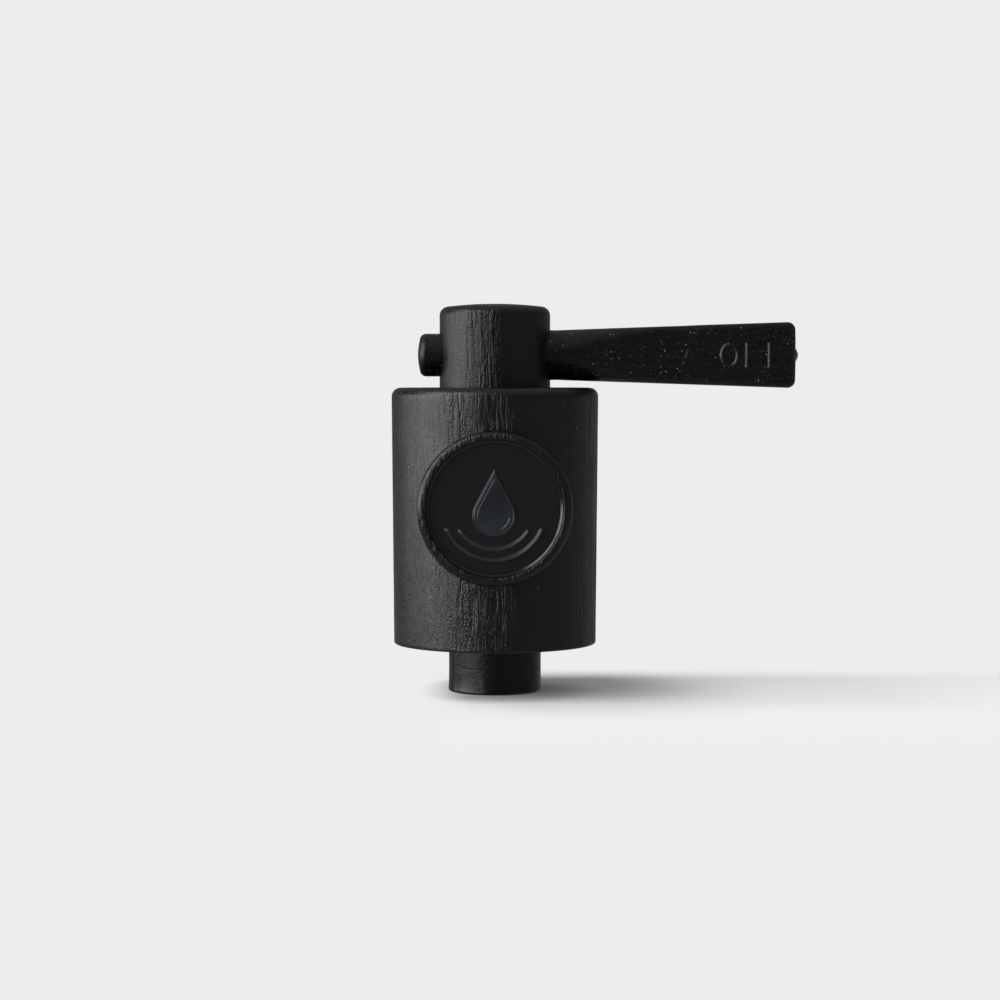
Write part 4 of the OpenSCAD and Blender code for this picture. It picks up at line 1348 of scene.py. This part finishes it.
class SPIGOT_OT_lever(bpy.types.Operator):
    """Builds the lever with its peg, its gate mark and the raised word"""

    bl_idname = "spigot.lever"
    bl_label = "Lever"

    def execute(self, context):
        lever, head_r = context.scene.spigot_lever, context.scene.spigot_plug.head_radius
        arm = lever_arm(lever, head_r)

        def share(spots):
            root = eased(spots[:, 0], head_r + 0.4 * MM, head_r + 2 * MM)
            tip = 1 - 0.7 * eased(spots[:, 0], lever.reach - 0.6 * MM, lever.reach)
            return 0.75 * root * tip

        set_grain(arm, share)
        grained = grained_finish("grained_plastic_lengthways")
        press_grain(arm, "X", grained)
        front = -lever.tip_thickness / 2
        join(arm, lever_peg(lever, head_r), gate_mark(lever), *raised_word(lever, front))
        finish_piece(arm, TURNING_PLUG, ["lever"], "grained_plastic", grained, sharp=48)
        return {"FINISHED"}


# Medallion
# Foot of the rim's inside: place from the disc's edge and height over its face, in millimetres
RIM_FOOT = ((0.04, 0.05), (-0.02, 0.015), (-0.08, 0.0))


class SPIGOT_OT_medallion(bpy.types.Operator):
    """Builds the medallion with a drop over two ripples"""

    bl_idname = "spigot.medallion"
    bl_label = "Medallion"

    def execute(self, context):
        sizes = context.scene.spigot_medallion
        disc_r = sizes.radius - sizes.rim_width
        top = sizes.face + sizes.rim_stand
        back = context.scene.spigot_housing.recess_floor
        edge = 0.04 * MM
        outline = [(0, back), (sizes.radius, back)]
        outline += arc(sizes.radius - edge, top - edge, edge, 0, 80, 3)
        outline += [(sizes.radius - 0.1 * MM, top - 0.03 * MM)]
        outline += [(disc_r + out * MM, sizes.face + up * MM) for out, up in RIM_FOOT]
        flat_r = disc_r - 0.15 * MM
        rows = 96
        outline += [(flat_r * (1 - i / rows), sizes.face) for i in range(rows)]
        outline += [(0, sizes.face)]
        piece = lathe("relief_medallion", outline, 400)

        spots = np.zeros(len(piece.data.vertices) * 3)
        piece.data.vertices.foreach_get("co", spots)
        spots = spots.reshape(-1, 3)
        x, z = spots[:, 0], spots[:, 1]
        on_face = (np.abs(spots[:, 2] - sizes.face) < 1e-7) & (np.hypot(x, z) < disc_r)
        spots[:, 2] += np.where(on_face, relief_height(x, z, sizes, disc_r), 0)
        piece.data.vertices.foreach_set("co", spots.ravel())
        place(piece, TO_FRONT)
        plastic = finish("medallion_plastic", medallion_plastic)
        finish_piece(piece, TAP_BODY, ["medallion"], "smooth_plastic", plastic, sharp=60)
        return {"FINISHED"}


def bell(value, width):
    """1 at zero, and less on both sides of it."""
    return np.exp(-((value / width) ** 2))


def relief_height(x, z, sizes, disc_r):
    """Height of the drop and the ripples over the disc."""
    belly = 0.32 * sizes.drop_height
    low = -0.1 * sizes.drop_height
    lean = math.asin(belly / (sizes.drop_height - belly))
    across, up = np.abs(x), z - low
    beyond = up * math.cos(lean) - across * math.sin(lean)
    to_side = belly - (across * math.cos(lean) + up * math.sin(lean))
    inside = np.where(beyond > 0, to_side, belly - np.hypot(across, up))
    rise = eased(inside, 0, 0.28 * MM)
    pillow = np.sqrt(1 - (1 - np.clip(inside / belly, 0, 1)) ** 2)
    height = sizes.relief * (0.75 * rise + 0.25 * pillow)
    groove_inset, groove_depth = 0.62 * MM, 0.1 * MM
    height -= groove_depth * bell(inside - groove_inset, 0.12 * MM)
    glint_inset, glint_depth, glint_angle, glint_span = 1.35 * MM, 0.16 * MM, -40, 38
    angle = np.degrees(np.arctan2(up, x))
    from_arc = np.hypot(x, up) - (belly - glint_inset)
    off = np.abs((angle - glint_angle + 180) % 360 - 180)
    glint = bell(from_arc, 0.22 * MM) * (1 - eased(off, glint_span - 10, glint_span + 6))
    height -= glint_depth * glint
    turn = np.arctan2(x, -z)
    for i in range(2):
        middle = disc_r - 2 * (1 + i) * sizes.ripple_width - sizes.ripple_width / 2
        half_span = math.radians(65 - 10 * i)
        held = np.clip(turn, -half_span, half_span)
        distance = np.hypot(x - middle * np.sin(held), z + middle * np.cos(held))
        share = np.clip(1 - (distance / (sizes.ripple_width / 2)) ** 2, 0, 1)
        height = np.maximum(height, 0.85 * sizes.relief * np.sqrt(share) * (0.35 + 0.65 * share))
    return height


# Clamp
# Rounding of the washers' edges, and radius of the thrust washer's bore
RUBBER_EDGE, SLIP_EDGE, THRUST_EDGE = 0.35 * MM, 0.15 * MM, 0.12 * MM
THRUST_BORE = 7.82 * MM


def rounded_washer(name, node, inner, outer, low, high, edge, material, body, slot, matrix, count=144):
    """A flat washer with rounded edges."""
    outline = []
    for r, z, start in ((outer - edge, low + edge, -90), (outer - edge, high - edge, 0),
                        (inner + edge, high - edge, 90), (inner + edge, low + edge, 180)):
        outline += arc(r, z, edge, start, start + 90, 4)
    piece = place(lathe(name, outline, count), matrix)
    return finish_piece(piece, body, [node], slot, material, sharp=35)


class SPIGOT_OT_washers(bpy.types.Operator):
    """Builds the rubber washers, the slip washer and the thrust washer"""

    bl_idname = "spigot.washers"
    bl_label = "Washers"

    def execute(self, context):
        thread = context.scene.spigot_thread
        inner = thread.crest_radius + thread.nut_clearance
        seal = finish("seal_rubber", rubber)
        natural = finish("natural_plastic", natural_plastic)
        for name, node, body, edge, material, slot in (
            ("rubber_front", "front_washer", TAP_BODY, RUBBER_EDGE, seal, "seal_rubber"),
            ("rubber_rear", "rear_washer", CLAMP_WASHERS, RUBBER_EDGE, seal, "seal_rubber"),
            ("slip_ring", "slip_washer", CLAMP_WASHERS, SLIP_EDGE, natural, "natural_plastic"),
        ):
            low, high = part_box(node)
            rounded_washer(name, node, inner, high.x, low.y, high.y, edge, material, body, slot, TO_REAR)
        low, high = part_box("thrust_washer")
        rounded_washer("thrust_ring", "thrust_washer", THRUST_BORE, high.x, low.z, high.z, THRUST_EDGE,
                       natural, TAP_BODY, "natural_plastic", Matrix.Identity(4))
        return {"FINISHED"}


class SPIGOT_OT_lock_nut(bpy.types.Operator):
    """Builds the six-sided lock nut with its collar and its thread"""

    bl_idname = "spigot.lock_nut"
    bl_label = "Lock nut"

    def execute(self, context):
        scene = context.scene
        sizes, thread = scene.spigot_nut, scene.spigot_thread
        foot, top = NUT_LOW.y, NUT_HIGH.y
        edge = sizes.collar_round
        round_r, collar_top = NUT_HIGH.x - edge, foot + sizes.collar_height
        outline = [(0, foot)] + arc(round_r, foot + edge, edge, -90, 0, 4)
        outline += arc(round_r, collar_top - edge, edge, 0, 90, 4) + [(0, collar_top)]
        nut = lathe("threaded_nut", outline, 160)
        prism = nut_prism(sizes.half_flat, sizes.corner, foot + edge, top)
        cone_foot = sizes.cone_radius + sizes.cone_rise / math.tan(math.radians(30))
        cone = lathe("corner_cone", [
            (0, foot), (cone_foot, foot), (cone_foot, top - sizes.cone_rise),
            (sizes.cone_radius, top), (0, top),
        ], 144)
        combine(prism, "INTERSECT", cone)
        join(nut, prism)
        bore_r = thread.crest_radius + thread.nut_clearance
        bevel, foot_bevel = sizes.bevel, 0.4 * sizes.bevel
        bore = lathe("nut_bore", [
            (0, foot - CUT), (bore_r + foot_bevel, foot - CUT), (bore_r + foot_bevel, foot),
            (bore_r, foot + foot_bevel), (bore_r, top - bevel), (bore_r + bevel, top),
            (bore_r + bevel, top + CUT), (0, top + CUT),
        ], 144)
        cut(nut, bore)
        shank_start = thread_start(scene.spigot_housing, thread)
        steps = math.ceil((foot + 0.9 * MM - shank_start) / thread.pitch) + 0.5
        start = shank_start + steps * thread.pitch
        turns = (top - 0.8 * MM - start) / thread.pitch
        crest = 0.05 * MM - (thread.crest_radius - thread.root_radius)
        ridge = thread_on("nut_thread", thread, bore_r, start, turns, 0.2 * MM, crest,
                          0.66 * thread.pitch, 0.2 * thread.pitch)
        join(nut, ridge)
        place(nut, TO_REAR)
        black = scene.spigot_finish.black
        plastic = finish("nut_plastic", smooth_plastic, "nut_plastic", black, 0.34, 0.48, 0.012 * MM)
        plastic.node_tree.nodes["Principled BSDF"].inputs["Specular IOR Level"].default_value = 0.35
        finish_piece(nut, NUT, ["lock_nut"], "nut_plastic", plastic, sharp=35)
        return {"FINISHED"}


def nut_prism(half_flat, corner, low, high):
    """A six-sided prism with rounded corners, along Z."""
    centre_r = (half_flat - corner) / math.cos(math.radians(30))
    outline = []
    for i in range(6):
        middle = math.radians(60 * i)
        centre = centre_r * np.array([math.cos(middle), math.sin(middle)])
        for j in range(5):
            a = middle + math.radians(-30 + 15 * j)
            outline.append(centre + corner * np.array([math.cos(a), math.sin(a)]))
    count = len(outline)
    points = [(p[0], p[1], z) for z in (low, high) for p in outline]
    faces = [(j, (j + 1) % count, (j + 1) % count + count, j + count) for j in range(count)]
    faces += [tuple(range(count))[::-1], tuple(range(count, 2 * count))]
    return new_piece("prism", points, faces)


class SPIGOT_OT_seals(bpy.types.Operator):
    """Gives the O-rings, the port seal and the retaining clip their finishes"""

    bl_idname = "spigot.seals"
    bl_label = "Seals and clip"

    def execute(self, context):
        seal = finish("seal_rubber", rubber)
        steel = finish("clip_steel", spring_steel)
        for name, material in (("o_ring_upper", seal), ("o_ring_lower", seal), ("port_seal", seal),
                               ("retaining_clip", steel)):
            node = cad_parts[name]
            node.data.materials.clear()
            node.data.materials.append(material)
        return {"FINISHED"}


# Stage
# Albedo of the floor's paper
PAPER = 0.672
# Fading of the floor into the background: axis, and where it starts and ends, in metres. The floor glows
# where it fades, and the fades close beside the plug, left of the nozzle, behind the body and in front of it,
# paint light over the shadows that would fall there.
FLOOR_FADES = (("X", 0.12, 0.34), ("X", -0.002, -0.014), ("Y", 0.011, 0.031), ("Y", -0.03, -0.08))
# What the surroundings add to their even level: axis, start and end of its rise, and radiance
GLOWS = (("X", 0.2, 0.9, 0.08), ("Y", 0.4, 0.95, 0.08), ("Z", 0.01, -0.1, 0.05), ("Z", -0.15, -0.7, 0.12),
         ("Z", 0.4, 0.9, 0.22))
# Distance of the soft panels from the plug's axis
PANEL_DISTANCE = 6.0
# Soft panels on the left: name, middle and span round the plug's axis from the front, lowest and
# highest elevation, all in degrees, and radiance
SOFT_PANELS = (
    ("front_panel", 40, 19, -5.2, 12, 3.4),
    ("side_panel", 72, 45, -5.2, 20, 4.3),
    ("rear_panel", 108, 27, -5, 14, 1.8),
    ("upper_panel", 62, 54, 22, 52, 3.4),
)
PANEL_TONE = (1.0, 0.97, 1.03)
# Lights that light the scene without showing in its gloss: name, place, width, height and radiance
HIDDEN_LIGHTS = (
    ("key", (-2.25, 0.05, 5.56), 4.4, 1.9, 9.2),
    ("overhead_fill", (0, 0, 6.0), 12.0, 12.0, 0.3),
)


def soft_light(name, centre, width, height, radiance, tone=(1, 1, 1)):
    """A rectangular light of even radiance that faces the origin and isn't seen by the camera."""
    light = bpy.data.lights.new(name, "AREA")
    light.shape, light.size, light.size_y = "RECTANGLE", width, height
    light.energy, light.color = radiance * math.pi * width * height, tone
    lamp = bpy.data.objects.new(name, light)
    lamp.location = centre
    lamp.rotation_euler = (-Vector(centre)).to_track_quat("-Z", "Y").to_euler()
    lamp.visible_camera = False
    bpy.context.scene.collection.objects.link(lamp)
    return lamp


def floor_material(pale):
    """Pale paper that fades into a glow like the surroundings, and that isn't seen from below. The glow is
    painted light: it lightens the floor's shadows a little everywhere and takes them away beside the plug.
    """
    material = bpy.data.materials.new("pale_floor")
    material.use_nodes = True
    tree = material.node_tree
    tree.nodes.clear()
    sheet = Sheet(tree)
    spot = sheet.add("ShaderNodeTexCoord").outputs["Object"]
    parts = sheet.add("ShaderNodeSeparateXYZ", {0: spot}).outputs
    # Painted light: the floor always glows by this share, which lightens its shadows.
    fade = 0.08
    for axis, start, end in FLOOR_FADES:
        outward = sheet.math("MULTIPLY", parts[axis], math.copysign(1, start))
        fade = sheet.math("MAXIMUM", sheet.remap(outward, abs(start), abs(end)), fade)
    paper = sheet.noise(sheet.vector("MULTIPLY", spot, (400.0,) * 3), 1.0, detail=2.0).outputs["Fac"]
    mix = sheet.add("ShaderNodeMix", {0: paper}, data_type="RGBA")
    for socket, share in ((6, 0.99), (7, 1.01)):
        mix.inputs[socket].default_value = (*[PAPER * share] * 3, 1)
    diffuse = sheet.add("ShaderNodeBsdfDiffuse", {"Color": mix.outputs[2]}).outputs[0]
    glow = sheet.add("ShaderNodeEmission", {"Color": (*pale, 1), "Strength": 1.0}).outputs[0]
    near = sheet.add("ShaderNodeMixShader", {0: fade, 1: diffuse, 2: glow}).outputs[0]
    clear = sheet.add("ShaderNodeBsdfTransparent").outputs[0]
    back = sheet.add("ShaderNodeNewGeometry").outputs["Backfacing"]
    seen = sheet.add("ShaderNodeMixShader", {0: back, 1: near, 2: clear}).outputs[0]
    sheet.add("ShaderNodeOutputMaterial", {"Surface": seen})
    return material


def surroundings(pale):
    """Pale where the camera sees it. For everything else it is dim, and lighter to the right,
    behind the object and below."""
    world = bpy.data.worlds.new("surroundings")
    world.use_nodes = True
    tree = world.node_tree
    tree.nodes.clear()
    sheet = Sheet(tree)
    way = sheet.add("ShaderNodeTexCoord").outputs["Generated"]
    parts = sheet.add("ShaderNodeSeparateXYZ", {0: way}).outputs
    level = 0.078
    for axis, start, end, more in GLOWS:
        level = sheet.math("ADD", sheet.remap(parts[axis], start, end, 0.0, more), level)
    felt = sheet.add("ShaderNodeBackground", {"Color": (1.0, 0.97, 1.0, 1), "Strength": level}).outputs[0]
    shown = sheet.add("ShaderNodeBackground", {"Color": (*pale, 1), "Strength": 1.0}).outputs[0]
    seen = sheet.add("ShaderNodeLightPath").outputs["Is Camera Ray"]
    mixed = sheet.add("ShaderNodeMixShader", {0: seen, 1: felt, 2: shown}).outputs[0]
    sheet.add("ShaderNodeOutputWorld", {"Surface": mixed})
    return world


class SPIGOT_OT_stage(bpy.types.Operator):
    """Builds the floor, the soft lights, the pale surroundings and the camera"""

    bl_idname = "spigot.stage"
    bl_label = "Stage"

    def execute(self, context):
        scene = context.scene
        stage = scene.spigot_stage
        reach = 3.0
        corners = [(-reach, -reach, 0), (reach, -reach, 0), (reach, reach, 0), (-reach, reach, 0)]
        floor = new_piece("floor", corners, [(0, 1, 2, 3)])
        floor.data.materials.append(floor_material(stage.pale))
        floor.visible_glossy = False

        for name, azimuth, span, low, high, radiance in SOFT_PANELS:
            turn, lift = math.radians(azimuth), math.radians((low + high) / 2)
            level = math.cos(lift)
            away = Vector((-math.sin(turn) * level, -math.cos(turn) * level, math.sin(lift)))
            width = 2 * PANEL_DISTANCE * math.tan(math.radians(span / 2))
            height = 2 * PANEL_DISTANCE * math.tan(math.radians((high - low) / 2))
            soft_light(name, away * PANEL_DISTANCE, width, height, radiance, PANEL_TONE)
        for name, spot, width, height, radiance in HIDDEN_LIGHTS:
            soft_light(name, spot, width, height, radiance).visible_glossy = False
        scene.world = surroundings(stage.pale)

        camera = bpy.data.cameras.new("camera")
        camera.lens, camera.sensor_width = stage.lens, 36.0
        camera.clip_start, camera.clip_end = 0.01, 20.0
        eye = Vector((stage.aim_x, -stage.eye_distance, stage.eye_height))
        aim = Vector((stage.aim_x, 0, stage.aim_z))
        watcher = bpy.data.objects.new("camera", camera)
        turn = (aim - eye).to_track_quat("-Z", "Y").to_matrix().to_4x4()
        watcher.matrix_world = Matrix.Translation(eye) @ turn
        scene.collection.objects.link(watcher)
        scene.camera = watcher
        scene.view_settings.view_transform = "Standard"
        scene.view_settings.look = "None"
        return {"FINISHED"}


class SPIGOT_PT_panel(bpy.types.Panel):
    """Lists the spigot's pieces and their sizes."""

    bl_label = "Water filter spigot"
    bl_idname = "SPIGOT_PT_panel"
    bl_space_type = "VIEW_3D"
    bl_region_type = "UI"
    bl_category = "Spigot"

    def draw(self, context):
        for operator, settings in PANEL_ROWS:
            box = self.layout.box()
            box.operator(operator.bl_idname)
            group = getattr(context.scene, settings)
            for name in SETTINGS[settings].__annotations__:
                box.prop(group, name)


PANEL_ROWS = (
    (SPIGOT_OT_stage, "spigot_stage"),
    (SPIGOT_OT_housing, "spigot_housing"),
    (SPIGOT_OT_plug, "spigot_plug"),
    (SPIGOT_OT_lever, "spigot_lever"),
    (SPIGOT_OT_medallion, "spigot_medallion"),
    (SPIGOT_OT_washers, "spigot_thread"),
    (SPIGOT_OT_lock_nut, "spigot_nut"),
    (SPIGOT_OT_seals, "spigot_finish"),
)

OPERATORS = tuple(row[0] for row in PANEL_ROWS)


def register():
    for cls in (*SETTINGS.values(), *OPERATORS, SPIGOT_PT_panel):
        bpy.utils.register_class(cls)
    for name, group in SETTINGS.items():
        setattr(bpy.types.Scene, name, PointerProperty(type=group))


def unregister():
    for name in SETTINGS:
        delattr(bpy.types.Scene, name)
    for cls in reversed((*SETTINGS.values(), *OPERATORS, SPIGOT_PT_panel)):
        bpy.utils.unregister_class(cls)


def main():
    register()
    for operator in OPERATORS:
        family, name = operator.bl_idname.split(".")
        getattr(getattr(bpy.ops, family), name)()


if __name__ == "__main__":
    main()
